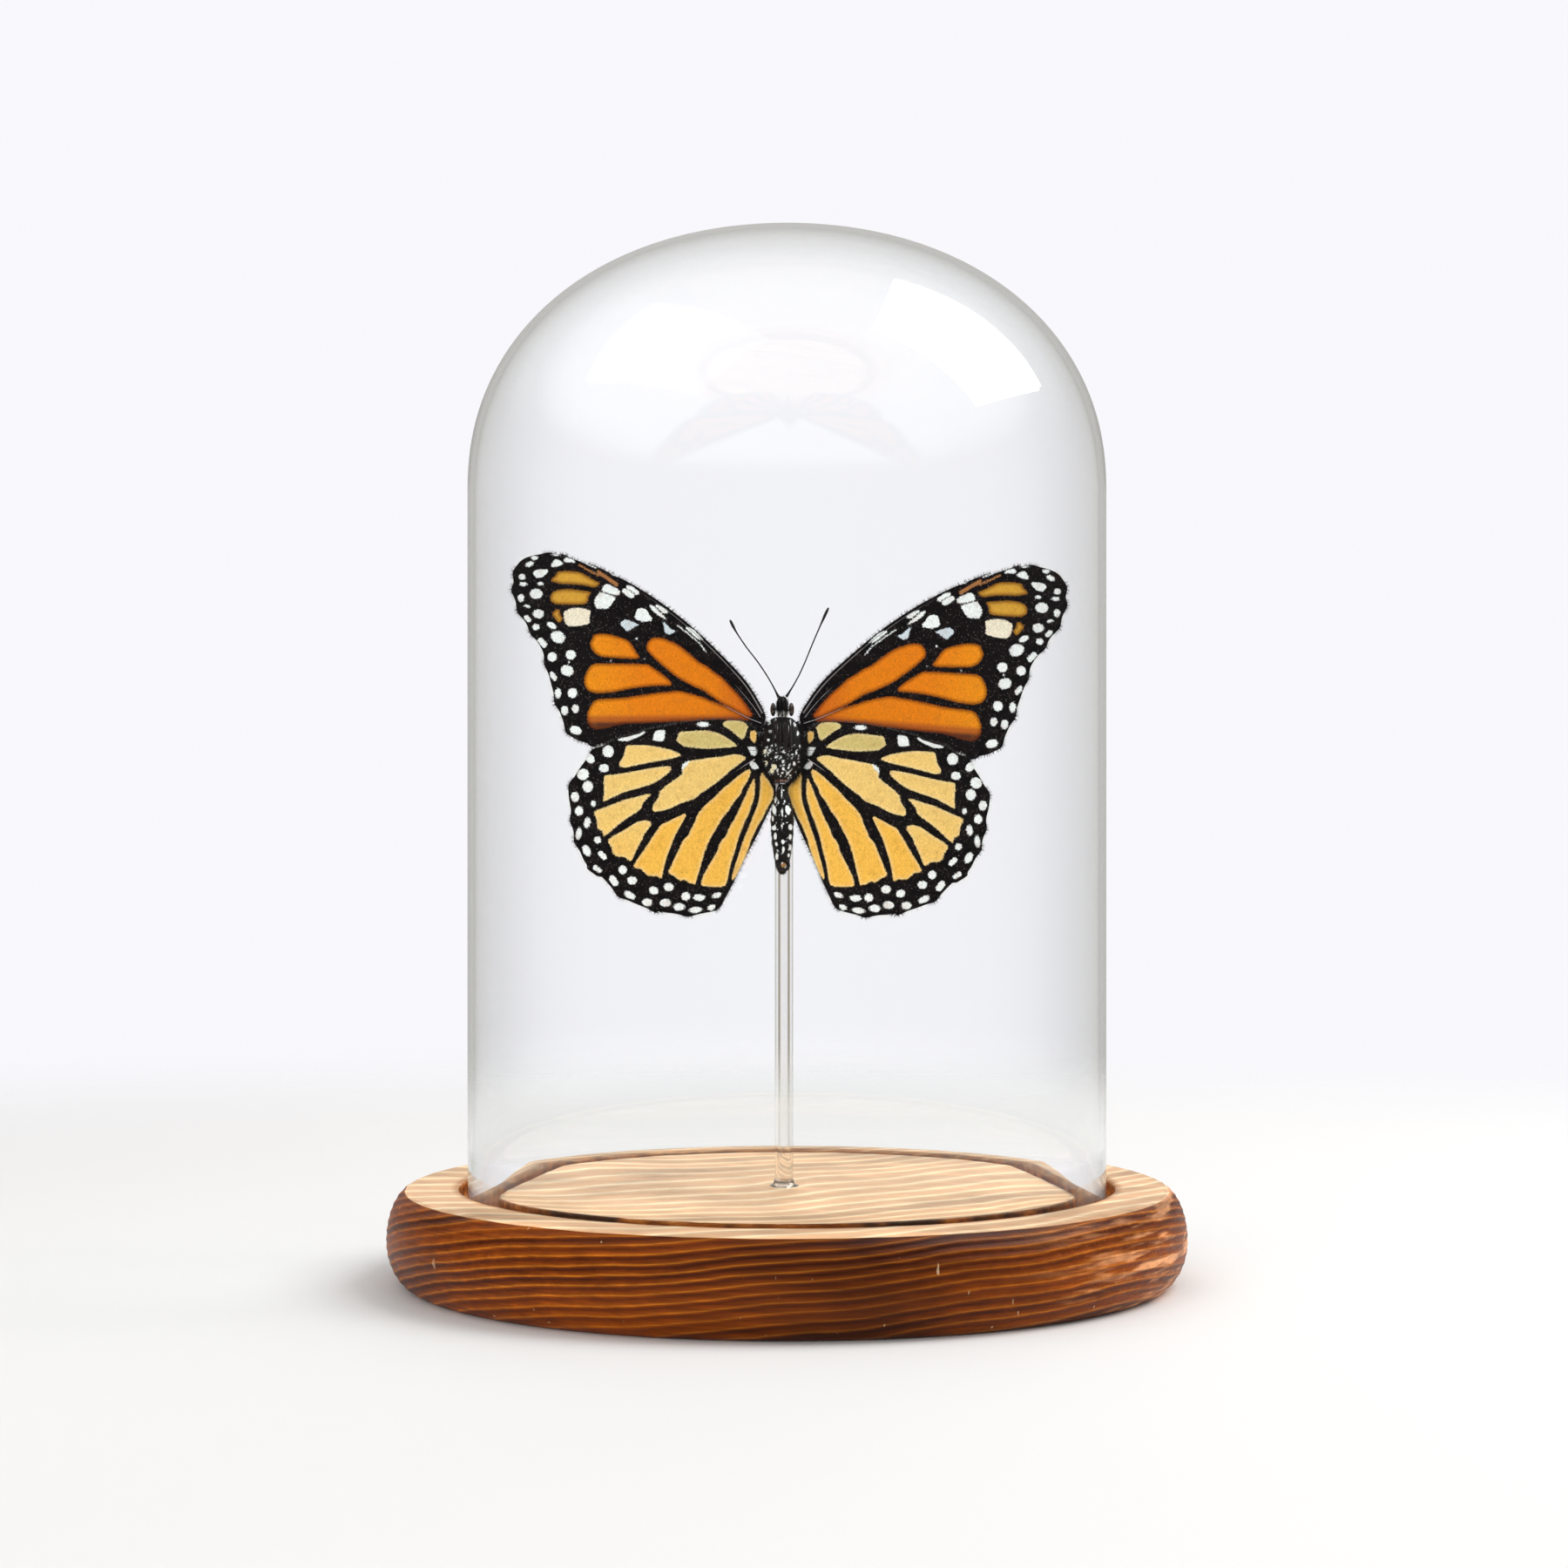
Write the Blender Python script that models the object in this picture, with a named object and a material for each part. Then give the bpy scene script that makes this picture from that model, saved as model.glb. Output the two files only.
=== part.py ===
"""Insect in a glass dome: a spread butterfly on a clear rod, on a turned wooden base, under a blown-glass dome.

Metres, +Z up. The origin is the centre of the base's underside, and the insect's underside faces -Y.
The insect's own drawings are in millimetres: u runs outwards from its body axis and v upwards from the
middle of its thorax.
"""

import math

import bmesh
import bpy
from mathutils import Vector

MM = 0.001
TURNED_STEPS = 56
GAP = 0.0003  # left between pieces that rest on each other
FINE_GAP = 0.00012  # the same, between the insect's small pieces

# Wooden base, turned in one piece with a ring groove in its top
BASE_HEIGHT = 0.0162
BASE_FOOT_RADIUS = 0.0634
BASE_RADIUS = 0.0684
BASE_WIDEST_HEIGHT = 0.0076
BASE_TOP_RADIUS = 0.0640
GROOVE_INNER_RADIUS = 0.0491
GROOVE_OUTER_RADIUS = 0.0562
GROOVE_DEPTH = 0.0030

# Glass dome, open below, standing on the floor of the groove
DOME_RADIUS = 0.0547
DOME_WALL = 0.0021
DOME_TOP = 0.1803
DOME_CROWN_RISE = 0.0450
DOME_SQUARENESS = 2.15  # exponent of the crown's curve, 2 being an ellipse

# Clear rod and the glue at its two ends
ROD_X = -0.0005
ROD_RADIUS = 0.00155
ROD_TOP = 0.0930
GLUE_RING_WIDTH = 0.0008
GLUE_RING_HEIGHT = 0.0007

# Insect
BODY_X = -0.0008
BODY_Z = 0.0895
THORAX_Y = -0.0062
ABDOMEN_Y = -0.0059
HEAD_Y = -0.0068
WING_THICKNESS = 0.0004
FOREWING_Y = -0.0035
HINDWING_Y = -0.0043
DIHEDRAL = 0.05  # how far the wings lean back for each unit outwards
WING_HINGE = (3.0, 5.0)
# Each wing's turn about its hinge and its size against the drawing: the right wings are set a little lower.
AS_DRAWN = (0.0, 1.0)
FOREWING_SET = {"left": AS_DRAWN, "right": (math.radians(-4), 1.02)}
HINDWING_SET = {"left": AS_DRAWN, "right": (math.radians(-3), 0.985)}

# (u, v) points that the edge of each wing passes through, from its root along the front edge
FOREWING_EDGE = [
    (3.1, 7.9), (6.0, 12.8), (10.0, 17.2), (15.0, 22.0), (20.0, 26.0), (25.0, 29.3), (30.0, 31.9),
    (35.0, 34.2), (39.0, 35.15), (42.0, 35.25), (44.6, 34.5), (46.0, 33.0), (46.5, 30.5), (46.5, 27.8),
    (45.4, 24.6), (43.3, 21.2), (41.4, 17.8), (40.6, 14.5), (39.8, 11.5), (38.6, 7.8), (37.3, 4.6),
    (35.6, 2.8), (33.0, 2.0), (29.0, 1.6), (20.0, 1.8), (12.0, 2.6), (6.0, 3.6), (3.6, 4.6), (3.0, 6.0),
]
HINDWING_EDGE = [
    (3.9, 3.6), (6.0, 5.9), (9.0, 6.4), (13.0, 6.4), (17.0, 5.95), (21.0, 5.15), (25.0, 4.4), (28.5, 3.25),
    (32.1, 1.75), (34.4, -0.7), (36.2, -3.6), (37.0, -6.3), (36.5, -9.5), (36.2, -12.5), (35.3, -15.4),
    (33.8, -18.6), (31.2, -20.7), (28.4, -23.6), (25.2, -25.4), (21.0, -26.7), (16.0, -27.25),
    (13.2, -26.9), (10.8, -25.8), (9.1, -23.0), (6.9, -18.2), (4.5, -13.7), (2.3, -9.2), (1.4, -7.0),
    (1.6, -5.2), (2.6, -3.8), (3.7, -2.0), (4.0, 1.0),
]
WING_POINTS_PER_SPAN = 2

# (v, half width, half depth) of each body section, from its lower end to its upper end
THORAX_SECTIONS = [
    (-4.35, 0.0, 0.0), (-4.35, 0.75, 0.7), (-4.0, 1.35, 1.2), (-3.2, 2.1, 1.9), (-2.0, 2.9, 2.6),
    (0.0, 3.65, 3.15), (2.0, 3.8, 3.3), (4.0, 3.4, 3.0), (5.4, 2.8, 2.4), (6.4, 2.0, 1.7), (6.9, 1.0, 0.9),
    (6.9, 0.0, 0.0),
]
THORAX_DEPTH = 3.3
ABDOMEN_SECTIONS = [
    (-19.9, 0.0, 0.0), (-19.6, 0.6, 0.6), (-18.6, 1.1, 1.1), (-17.0, 1.4, 1.35), (-14.2, 1.78, 1.7),
    (-11.5, 1.95, 1.85), (-9.6, 1.95, 1.85), (-7.5, 1.5, 1.45), (-6.0, 1.1, 1.05),
    (-4.5, 0.7, 0.7), (-4.5, 0.0, 0.0),
]
HEAD_SECTIONS = [
    (7.02, 0.0, 0.0), (7.02, 0.5, 0.7), (7.3, 0.68, 1.05), (7.8, 0.85, 1.35), (8.5, 0.9, 1.5), (9.2, 0.88, 1.4),
    (9.75, 0.65, 1.0), (10.0, 0.0, 0.0),
]
BODY_SIDES = 20

EYE_CENTRE = (1.55, 8.15)
EYE_RADII = (0.5, 1.15, 1.15)
PALP_CENTRE = (0.56, 8.2)
PALP_Y = -0.0090
PALP_RADII = (0.4, 0.5, 1.5)

# (u, y, v) points along each thin limb
ANTENNA_PATHS = {
    "left": [(0.6, -7.2, 10.2), (2.0, -7.4, 12.9), (4.0, -7.5, 16.0), (6.0, -7.5, 18.6), (7.5, -7.5, 20.8),
             (8.3, -7.5, 22.2), (8.85, -7.5, 23.35)],
    "right": [(0.7, -7.2, 10.3), (2.4, -7.4, 13.1), (3.7, -7.5, 15.8), (5.1, -7.5, 19.2), (6.3, -7.5, 22.0),
              (7.1, -7.5, 23.8), (7.85, -7.5, 25.4)],
}
ANTENNA_SHAFT_RADIUS = 0.00014
ANTENNA_CLUB = 1.9  # the club's radius over the shaft's
MID_LEG_PATH = [(1.35, -9.95, 1.2), (1.45, -9.85, 3.0), (1.3, -9.55, 5.0), (1.12, -9.6, 6.1), (0.95, -10.15, 5.9),
                (0.95, -10.55, 4.0), (0.95, -10.7, 2.4)]
HIND_LEG_PATH = [(0.62, -10.0, 0.9), (0.62, -10.05, 2.6), (0.6, -9.75, 4.7), (0.5, -9.6, 5.7), (0.36, -10.15, 5.5),
                 (0.36, -10.6, 3.8), (0.38, -10.75, 1.8)]
LEG_RADIUS = 0.00018
PROBOSCIS_CENTRE = (-0.01035, 7.2)
PROBOSCIS_RADII = (0.00028, 0.00078)
PROBOSCIS_TURNS = 1.25
PROBOSCIS_POINTS = 16
PROBOSCIS_TUBE = 0.00012
LIMB_SIDES = 1  # a curve's bevel_resolution


def clear_scene():
    for obj in list(bpy.data.objects):
        bpy.data.objects.remove(obj)


def principled(name, colour, roughness, transmission=0.0, ior=1.5):
    material = bpy.data.materials.new(name)
    material.use_nodes = True
    shader = material.node_tree.nodes["Principled BSDF"]
    shader.inputs["Base Color"].default_value = (*colour, 1.0)
    shader.inputs["Roughness"].default_value = roughness
    shader.inputs["Metallic"].default_value = 0.0
    shader.inputs["Transmission Weight"].default_value = transmission
    shader.inputs["IOR"].default_value = ior
    material.diffuse_color = (*colour, 1.0)
    return material


def add_mesh(name, bm, material):
    """Closes a bmesh into a named object with one material and smooth shading on its rounded faces."""
    bmesh.ops.recalc_face_normals(bm, faces=bm.faces)
    mesh = bpy.data.meshes.new(name)
    bm.to_mesh(mesh)
    bm.free()
    mesh.shade_smooth()
    mesh.set_sharp_from_angle(angle=math.radians(35))
    mesh.materials.append(material)
    obj = bpy.data.objects.new(name, mesh)
    bpy.context.scene.collection.objects.link(obj)
    return obj


def loft(bm, rings, closed_ring=False):
    """Joins rings of vertices by quads. A ring of one vertex closes an end as a pole."""
    pairs = list(zip(rings, rings[1:] + rings[:1] if closed_ring else rings[1:]))
    for lower, upper in pairs:
        count = max(len(lower), len(upper))
        for i in range(count):
            j = (i + 1) % count
            corners = [lower[i % len(lower)], lower[j % len(lower)], upper[j % len(upper)], upper[i % len(upper)]]
            bm.faces.new(list(dict.fromkeys(corners)))


def turned(name, profile, material, location=(0.0, 0.0, 0.0), steps=TURNED_STEPS):
    """Turns (radius, height) points about Z. A profile that starts or ends on the axis closes there as a pole."""
    bm = bmesh.new()
    rings = []
    for radius, height in profile:
        if radius == 0:
            rings.append([bm.verts.new((0, 0, height))])
            continue
        angles = [2 * math.pi * i / steps for i in range(steps)]
        rings.append([bm.verts.new((radius * math.cos(a), radius * math.sin(a), height)) for a in angles])
    loft(bm, rings, closed_ring=profile[0][0] > 0)
    obj = add_mesh(name, bm, material)
    obj.location = location
    return obj


def arc(centre, radii, start, end, count):
    """Points of an elliptical arc in (radius, height), angles in degrees from the outward direction."""
    points = []
    for i in range(count + 1):
        angle = math.radians(start + (end - start) * i / count)
        points.append((centre[0] + radii[0] * math.cos(angle), centre[1] + radii[1] * math.sin(angle)))
    return points


def base_profile():
    lower_side = arc(
        (BASE_FOOT_RADIUS, BASE_WIDEST_HEIGHT), (BASE_RADIUS - BASE_FOOT_RADIUS, BASE_WIDEST_HEIGHT), -90, 0, 7
    )
    upper_height = BASE_HEIGHT - BASE_WIDEST_HEIGHT
    upper_side = arc(
        (BASE_TOP_RADIUS, BASE_WIDEST_HEIGHT), (BASE_RADIUS - BASE_TOP_RADIUS, upper_height), 0, 90, 7
    )
    groove_floor = BASE_HEIGHT - GROOVE_DEPTH
    groove = [
        (GROOVE_OUTER_RADIUS, BASE_HEIGHT),
        (GROOVE_OUTER_RADIUS, groove_floor),
        (GROOVE_INNER_RADIUS, groove_floor),
        (GROOVE_INNER_RADIUS, BASE_HEIGHT),
    ]
    return [(0, 0)] + lower_side + upper_side[1:] + groove + [(0, BASE_HEIGHT)]


def crown(radius, top, rise, count):
    """The dome's shoulder and crown from its straight wall up to the axis, as a superellipse."""
    points = []
    for i in range(count):
        angle = math.pi / 2 * i / count
        points.append((
            radius * math.cos(angle) ** (2 / DOME_SQUARENESS),
            top - rise + rise * math.sin(angle) ** (2 / DOME_SQUARENESS),
        ))
    return points + [(0, top)]


def dome_profile():
    foot = BASE_HEIGHT - GROOVE_DEPTH + GAP
    outer = crown(DOME_RADIUS, DOME_TOP, DOME_CROWN_RISE, 12)
    inner = crown(DOME_RADIUS - DOME_WALL, DOME_TOP - DOME_WALL, DOME_CROWN_RISE - DOME_WALL / 2, 12)
    return outer[::-1] + [(DOME_RADIUS, foot), (DOME_RADIUS - DOME_WALL, foot)] + inner


def body_point(u, y, v, side=1):
    """World place of an insect point: u and v in millimetres, y in metres, side -1 for the insect's -X half."""
    return Vector((BODY_X + side * u * MM, y, BODY_Z + v * MM))


def sectioned_body(name, sections, y, material):
    """A rounded solid with an elliptical section at each (v, half width, half depth)."""
    bm = bmesh.new()
    rings = []
    for v, width, depth in sections:
        centre = body_point(0, y, v)
        if width == 0:
            rings.append([bm.verts.new(centre)])
            continue
        ring = []
        for i in range(BODY_SIDES):
            angle = 2 * math.pi * i / BODY_SIDES
            ring.append(bm.verts.new(centre + Vector((width * math.cos(angle), depth * math.sin(angle), 0)) * MM))
        rings.append(ring)
    loft(bm, rings)
    return add_mesh(name, bm, material)


def ellipsoid(name, centre, radii, material, segments=14, rings=9):
    bm = bmesh.new()
    bmesh.ops.create_uvsphere(bm, u_segments=segments, v_segments=rings, radius=1)
    bmesh.ops.scale(bm, vec=Vector(radii), verts=bm.verts)
    obj = add_mesh(name, bm, material)
    obj.location = centre
    return obj


def smooth_loop(points, per_span):
    """Points of a closed Catmull-Rom curve through the given ones."""
    found = []
    count = len(points)
    for i in range(count):
        before, start, end, after = (Vector(points[(i + k) % count]) for k in (-1, 0, 1, 2))
        for step in range(per_span):
            t = step / per_span
            found.append(
                0.5 * (2 * start + (end - before) * t + (2 * before - 5 * start + 4 * end - after) * t**2
                       + (3 * start - before - 3 * end + after) * t**3)
            )
    return found


def wing_place(point, turn, size):
    """A wing point's (u, v) as it is set on the body, turned about the hinge and scaled from it."""
    hinge = Vector(WING_HINGE)
    arm = (Vector(point) - hinge) * size
    cosine, sine = math.cos(turn), math.sin(turn)
    return hinge.x + arm.x * cosine - arm.y * sine, hinge.y + arm.x * sine + arm.y * cosine


def wing(name, edge, y, side, placing, material):
    """A thin plate with the wing's outline, leaning back from the body by the dihedral."""
    bm = bmesh.new()
    layers = []
    for offset in (-WING_THICKNESS / 2, WING_THICKNESS / 2):
        layer = []
        for point in smooth_loop(edge, WING_POINTS_PER_SPAN):
            u, v = wing_place(point, *placing)
            layer.append(bm.verts.new(body_point(u, y + offset + DIHEDRAL * u * MM, v, side)))
        layers.append(layer)
        bm.faces.new(layer)
    loft_sides(bm, *layers)
    return add_mesh(name, bm, material)


def loft_sides(bm, front, back):
    count = len(front)
    for i in range(count):
        j = (i + 1) % count
        bm.faces.new((front[i], front[j], back[j], back[i]))


def limb(name, points, radius, material, swelling=None):
    """A thin tube along its points, with filled ends. swelling gives each point's share of the radius."""
    curve = bpy.data.curves.new(name, "CURVE")
    curve.dimensions = "3D"
    curve.bevel_depth = radius
    curve.bevel_resolution = LIMB_SIDES
    curve.use_fill_caps = True
    curve.materials.append(material)
    spline = curve.splines.new("POLY")
    spline.points.add(len(points) - 1)
    for i, point in enumerate(points):
        spline.points[i].co = (*point, 1)
        spline.points[i].radius = swelling[i] if swelling else 1
    obj = bpy.data.objects.new(name, curve)
    bpy.context.scene.collection.objects.link(obj)
    return obj


def make_holder():
    wood = principled("scorched_wood", (0.55, 0.30, 0.12), 0.55)
    glass = principled("blown_glass", (1.0, 1.0, 1.0), 0.0, transmission=1.0, ior=1.5)
    acrylic = principled("clear_acrylic", (1.0, 1.0, 1.0), 0.02, transmission=1.0, ior=1.49)
    glue = principled("clear_glue", (0.95, 0.93, 0.88), 0.1, transmission=1.0, ior=1.48)
    turned("wood_base", base_profile(), wood)
    turned("glass_dome", dome_profile(), glass)
    rod_foot = BASE_HEIGHT + GAP
    rod_length = ROD_TOP - rod_foot
    rod_profile = [(0, 0), (ROD_RADIUS, 0), (ROD_RADIUS, rod_length), (0, rod_length)]
    turned("support_rod", rod_profile, acrylic, location=(ROD_X, 0, rod_foot), steps=20)
    inner = ROD_RADIUS + FINE_GAP
    ring_profile = [(inner, 0), (inner + GLUE_RING_WIDTH, 0), (inner, GLUE_RING_HEIGHT)]
    turned("glue_ring", ring_profile, glue, location=(ROD_X, 0, rod_foot), steps=20)
    back_of_thorax = THORAX_Y + THORAX_DEPTH * MM
    glue_room = -ROD_RADIUS - back_of_thorax
    glue_centre = (ROD_X, (back_of_thorax - ROD_RADIUS) / 2, BODY_Z + 1.0 * MM)
    ellipsoid("glue_dab", glue_centre, (1.3 * MM, glue_room / 2 - FINE_GAP, 2.2 * MM), glue)


def make_body():
    cuticle = principled("black_cuticle", (0.02, 0.018, 0.02), 0.6)
    eye_shell = principled("eye_shell", (0.05, 0.035, 0.03), 0.3)
    sectioned_body("thorax", THORAX_SECTIONS, THORAX_Y, cuticle)
    sectioned_body("abdomen", ABDOMEN_SECTIONS, ABDOMEN_Y, cuticle)
    sectioned_body("head", HEAD_SECTIONS, HEAD_Y, cuticle)
    for side, word in ((-1, "left"), (1, "right")):
        eye_radii = [radius * MM for radius in EYE_RADII]
        ellipsoid(f"eye_{word}", body_point(EYE_CENTRE[0], HEAD_Y, EYE_CENTRE[1], side), eye_radii, eye_shell)
        palp_radii = [radius * MM for radius in PALP_RADII]
        ellipsoid(f"palp_{word}", body_point(PALP_CENTRE[0], PALP_Y, PALP_CENTRE[1], side), palp_radii, cuticle)
        antenna = [body_point(u, y * MM, v, side) for u, y, v in ANTENNA_PATHS[word]]
        swelling = [1.4] + [1.0] * (len(antenna) - 4) + [ANTENNA_CLUB * 0.7, ANTENNA_CLUB, ANTENNA_CLUB * 0.8]
        limb(f"antenna_{word}", antenna, ANTENNA_SHAFT_RADIUS, cuticle, swelling)
        for pair, path in (("mid_leg", MID_LEG_PATH), ("hind_leg", HIND_LEG_PATH)):
            limb(f"{pair}_{word}", [body_point(u, y * MM, v, side) for u, y, v in path], LEG_RADIUS, cuticle)
    limb("proboscis", proboscis_path(), PROBOSCIS_TUBE, cuticle)


def proboscis_path():
    """A flat coil in the insect's middle plane, opening outwards."""
    centre = body_point(0, PROBOSCIS_CENTRE[0], PROBOSCIS_CENTRE[1])
    points = []
    for i in range(PROBOSCIS_POINTS):
        share = i / (PROBOSCIS_POINTS - 1)
        angle = 2 * math.pi * PROBOSCIS_TURNS * share
        radius = PROBOSCIS_RADII[0] + (PROBOSCIS_RADII[1] - PROBOSCIS_RADII[0]) * share
        points.append(centre + Vector((0, radius * math.cos(angle), radius * math.sin(angle))))
    return points


def make_wings():
    scales = principled("wing_scales", (0.80, 0.35, 0.06), 0.6)
    for side, word in ((-1, "left"), (1, "right")):
        wing(f"forewing_{word}", FOREWING_EDGE, FOREWING_Y, side, FOREWING_SET[word], scales)
        wing(f"hindwing_{word}", HINDWING_EDGE, HINDWING_Y, side, HINDWING_SET[word], scales)


clear_scene()
make_holder()
make_body()
make_wings()
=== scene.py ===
"""Looks of the insect in a glass dome: a spread monarch seen from its underside, on a clear rod over a
scorched wooden base, under a blown-glass dome. Metres, +Z up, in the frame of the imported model.
"""

import math

import bmesh
import bpy
import numpy as np
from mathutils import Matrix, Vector
from mathutils.geometry import delaunay_2d_cdt


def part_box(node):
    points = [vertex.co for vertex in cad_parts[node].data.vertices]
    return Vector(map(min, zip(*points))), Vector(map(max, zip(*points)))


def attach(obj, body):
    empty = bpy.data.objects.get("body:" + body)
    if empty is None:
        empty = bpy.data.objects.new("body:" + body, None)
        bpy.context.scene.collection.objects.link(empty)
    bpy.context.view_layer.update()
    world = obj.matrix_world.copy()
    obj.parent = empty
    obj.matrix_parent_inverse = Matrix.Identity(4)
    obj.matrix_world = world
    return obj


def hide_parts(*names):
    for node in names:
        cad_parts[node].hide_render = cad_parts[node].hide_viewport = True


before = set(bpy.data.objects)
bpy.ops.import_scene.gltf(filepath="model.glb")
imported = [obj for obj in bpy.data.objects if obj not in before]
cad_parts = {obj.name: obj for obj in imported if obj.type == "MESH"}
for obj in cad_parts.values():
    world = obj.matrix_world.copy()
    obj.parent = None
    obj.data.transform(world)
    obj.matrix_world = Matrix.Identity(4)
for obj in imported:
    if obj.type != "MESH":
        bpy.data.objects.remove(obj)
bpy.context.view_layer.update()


# ---------------------------------------------------------------------------------------------
# Camera. It stands level in front of the insect's underside, at the height of the hindwings, and takes in
# the whole dome and base.
camera = bpy.data.objects.new("front_camera", bpy.data.cameras.new("front_camera"))
camera.data.lens = 50
camera.data.sensor_width = 24
camera.data.clip_start = 0.01
camera.location = (-0.0005, -0.562, 0.085)
camera.rotation_euler = (math.radians(90), 0, 0)
bpy.context.scene.collection.objects.link(camera)
bpy.context.scene.camera = camera
bpy.context.scene.view_settings.view_transform = "Standard"


# ---------------------------------------------------------------------------------------------
# Studio light. Two soft boxes hang high on the right and left and show as panes on the dome's shoulder. A
# wide fill in front lights the underside of the wings, and a dimmer one behind lights the base's back.
# Neither leaves a reflection of its own.
def soft_box(name, place, aim, size, watts, mirrored=True):
    light = bpy.data.lights.new(name, "AREA")
    light.shape = "RECTANGLE"
    light.size, light.size_y = size
    light.energy = watts
    box = bpy.data.objects.new(name, light)
    box.location = place
    box.rotation_euler = (Vector(aim) - Vector(place)).to_track_quat("-Z", "Y").to_euler()
    box.visible_glossy = mirrored
    box.visible_transmission = mirrored
    bpy.context.scene.collection.objects.link(box)


DOME_SHOULDER = (0.0, 0.0, 0.14)
soft_box("right_soft_box", (0.60, 0.05, 0.80), DOME_SHOULDER, (0.62, 0.68), 7.0)
soft_box("left_soft_box", (-0.52, -0.30, 0.92), DOME_SHOULDER, (0.85, 0.62), 0.75)
soft_box("front_fill", (-0.45, -1.30, 0.30), (0.0, 0.0, 0.09), (1.00, 0.80), 12.6, mirrored=False)
soft_box("back_rim", (0.10, 1.10, 0.50), (0.0, 0.0, 0.02), (1.20, 0.50), 2.2, mirrored=False)


def node(tree, kind, values=None, **settings):
    """Adds a node. values sets its inputs by name or number, and joins those given a socket."""
    made = tree.nodes.new(kind)
    for key, value in settings.items():
        setattr(made, key, value)
    for key, value in (values or {}).items():
        if isinstance(value, bpy.types.NodeSocket):
            tree.links.new(value, made.inputs[key])
        else:
            made.inputs[key].default_value = value
    return made


def maths(tree, operation, *terms):
    return node(tree, "ShaderNodeMath", dict(enumerate(terms)), operation=operation).outputs[0]


def blend(tree, share, first, second, how="MIX"):
    """Mixes two colours; share is how much of the second."""
    values = {0: share, 6: first, 7: second}
    return node(tree, "ShaderNodeMix", values, data_type="RGBA", blend_type=how).outputs[2]


def ramp(tree, value, *stops):
    """Turns a value into a colour by (place, colour) stops."""
    made = node(tree, "ShaderNodeValToRGB", {0: value})
    elements = made.color_ramp.elements
    while len(elements) < len(stops):
        elements.new(0.5)
    for element, (place, colour) in zip(elements, stops):
        element.position = place
        element.color = (*colour, 1)
    return made.outputs[0]


def step_between(tree, value, low, high):
    """Rises softly from 0 at low to 1 at high."""
    values = {"Value": value, "From Min": low, "From Max": high}
    return node(tree, "ShaderNodeMapRange", values, interpolation_type="SMOOTHSTEP").outputs[0]


# The surroundings are a cool white straight ahead and through the glass. Reflections see a dark room, pale
# only high up and beyond the dome. Bent rays see darker stripes, which draw the edges of the glass.
BACKDROP = (0.945, 0.938, 0.975, 1)
BEYOND_GLASS = (1.07, 1.05, 1.10, 1)
STRIPES = (0.46, 0.42, 0.37, 1)
STRIPES_ROUND = 8  # one between each pair of views an eighth of a turn apart
SOFT_LIGHT = (0.55, 0.55, 0.56, 1)
ROOM_HIGH = (0.60, 0.62, 0.65, 1)
ROOM_LOW = (0.035, 0.033, 0.03, 1)
ROOM_BEYOND = (0.58, 0.57, 0.55, 1)
world = bpy.data.worlds.new("studio")
bpy.context.scene.world = world
world.use_nodes = True
sky = world.node_tree
heading = node(sky, "ShaderNodeSeparateXYZ",
               {0: node(sky, "ShaderNodeTexCoord").outputs["Generated"]}).outputs
room = blend(sky, step_between(sky, heading[2], 0.15, 0.9), ROOM_LOW, ROOM_HIGH)
room = blend(sky, step_between(sky, heading[1], 0.45, 0.92), room, ROOM_BEYOND)
azimuth = maths(sky, "ARCTAN2", heading[0], heading[1])
between_views = maths(sky, "COSINE", maths(sky, "MULTIPLY", azimuth, STRIPES_ROUND))
beyond = blend(sky, step_between(sky, between_views, -0.35, -0.85), BEYOND_GLASS, STRIPES)
path = node(sky, "ShaderNodeLightPath").outputs
undiffused = maths(sky, "LESS_THAN", path["Diffuse Depth"], 0.5)
mirrored = maths(sky, "GREATER_THAN", path["Glossy Depth"], 0.5)
unmirrored = maths(sky, "SUBTRACT", 1.0, mirrored)
seen = blend(sky, maths(sky, "MULTIPLY", mirrored, undiffused), SOFT_LIGHT, room)
through = maths(sky, "MULTIPLY", path["Is Transmission Ray"],
                maths(sky, "MULTIPLY", unmirrored, undiffused))
seen = blend(sky, through, seen, beyond)
seen = blend(sky, path["Is Camera Ray"], seen, BACKDROP)
sky.links.new(seen, sky.nodes["Background"].inputs["Color"])


# ---------------------------------------------------------------------------------------------
# Floor. A plain pale sheet that fades into the backdrop all round.
FLOOR_RADIUS = 0.9
FLOOR_FADE = (0.20, 0.52)
floor_mesh = bpy.data.meshes.new("studio_floor")
floor_bm = bmesh.new()
bmesh.ops.create_circle(floor_bm, cap_ends=True, segments=96, radius=FLOOR_RADIUS)
floor_bm.to_mesh(floor_mesh)
floor_bm.free()
floor = bpy.data.objects.new("studio_floor", floor_mesh)
bpy.context.scene.collection.objects.link(floor)


def new_material(name):
    """A new material, its node tree and its shader."""
    material = bpy.data.materials.new(name)
    material.use_nodes = True
    return material, material.node_tree, material.node_tree.nodes["Principled BSDF"]


floor_paper, paper, paper_shader = new_material("floor_paper")
place = node(paper, "ShaderNodeTexCoord").outputs["Object"]
from_middle = node(paper, "ShaderNodeVectorMath", {0: place}, operation="LENGTH").outputs["Value"]
paper_shader.inputs["Base Color"].default_value = (0.80, 0.79, 0.77, 1)
paper_shader.inputs["Roughness"].default_value = 0.8
faded = node(paper, "ShaderNodeBsdfTransparent")
join = node(paper, "ShaderNodeMixShader", {
    0: step_between(paper, from_middle, *FLOOR_FADE), 1: paper_shader.outputs[0], 2: faded.outputs[0],
})
paper.links.new(join.outputs[0], paper.nodes["Material Output"].inputs["Surface"])
floor_mesh.materials.append(floor_paper)


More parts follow.
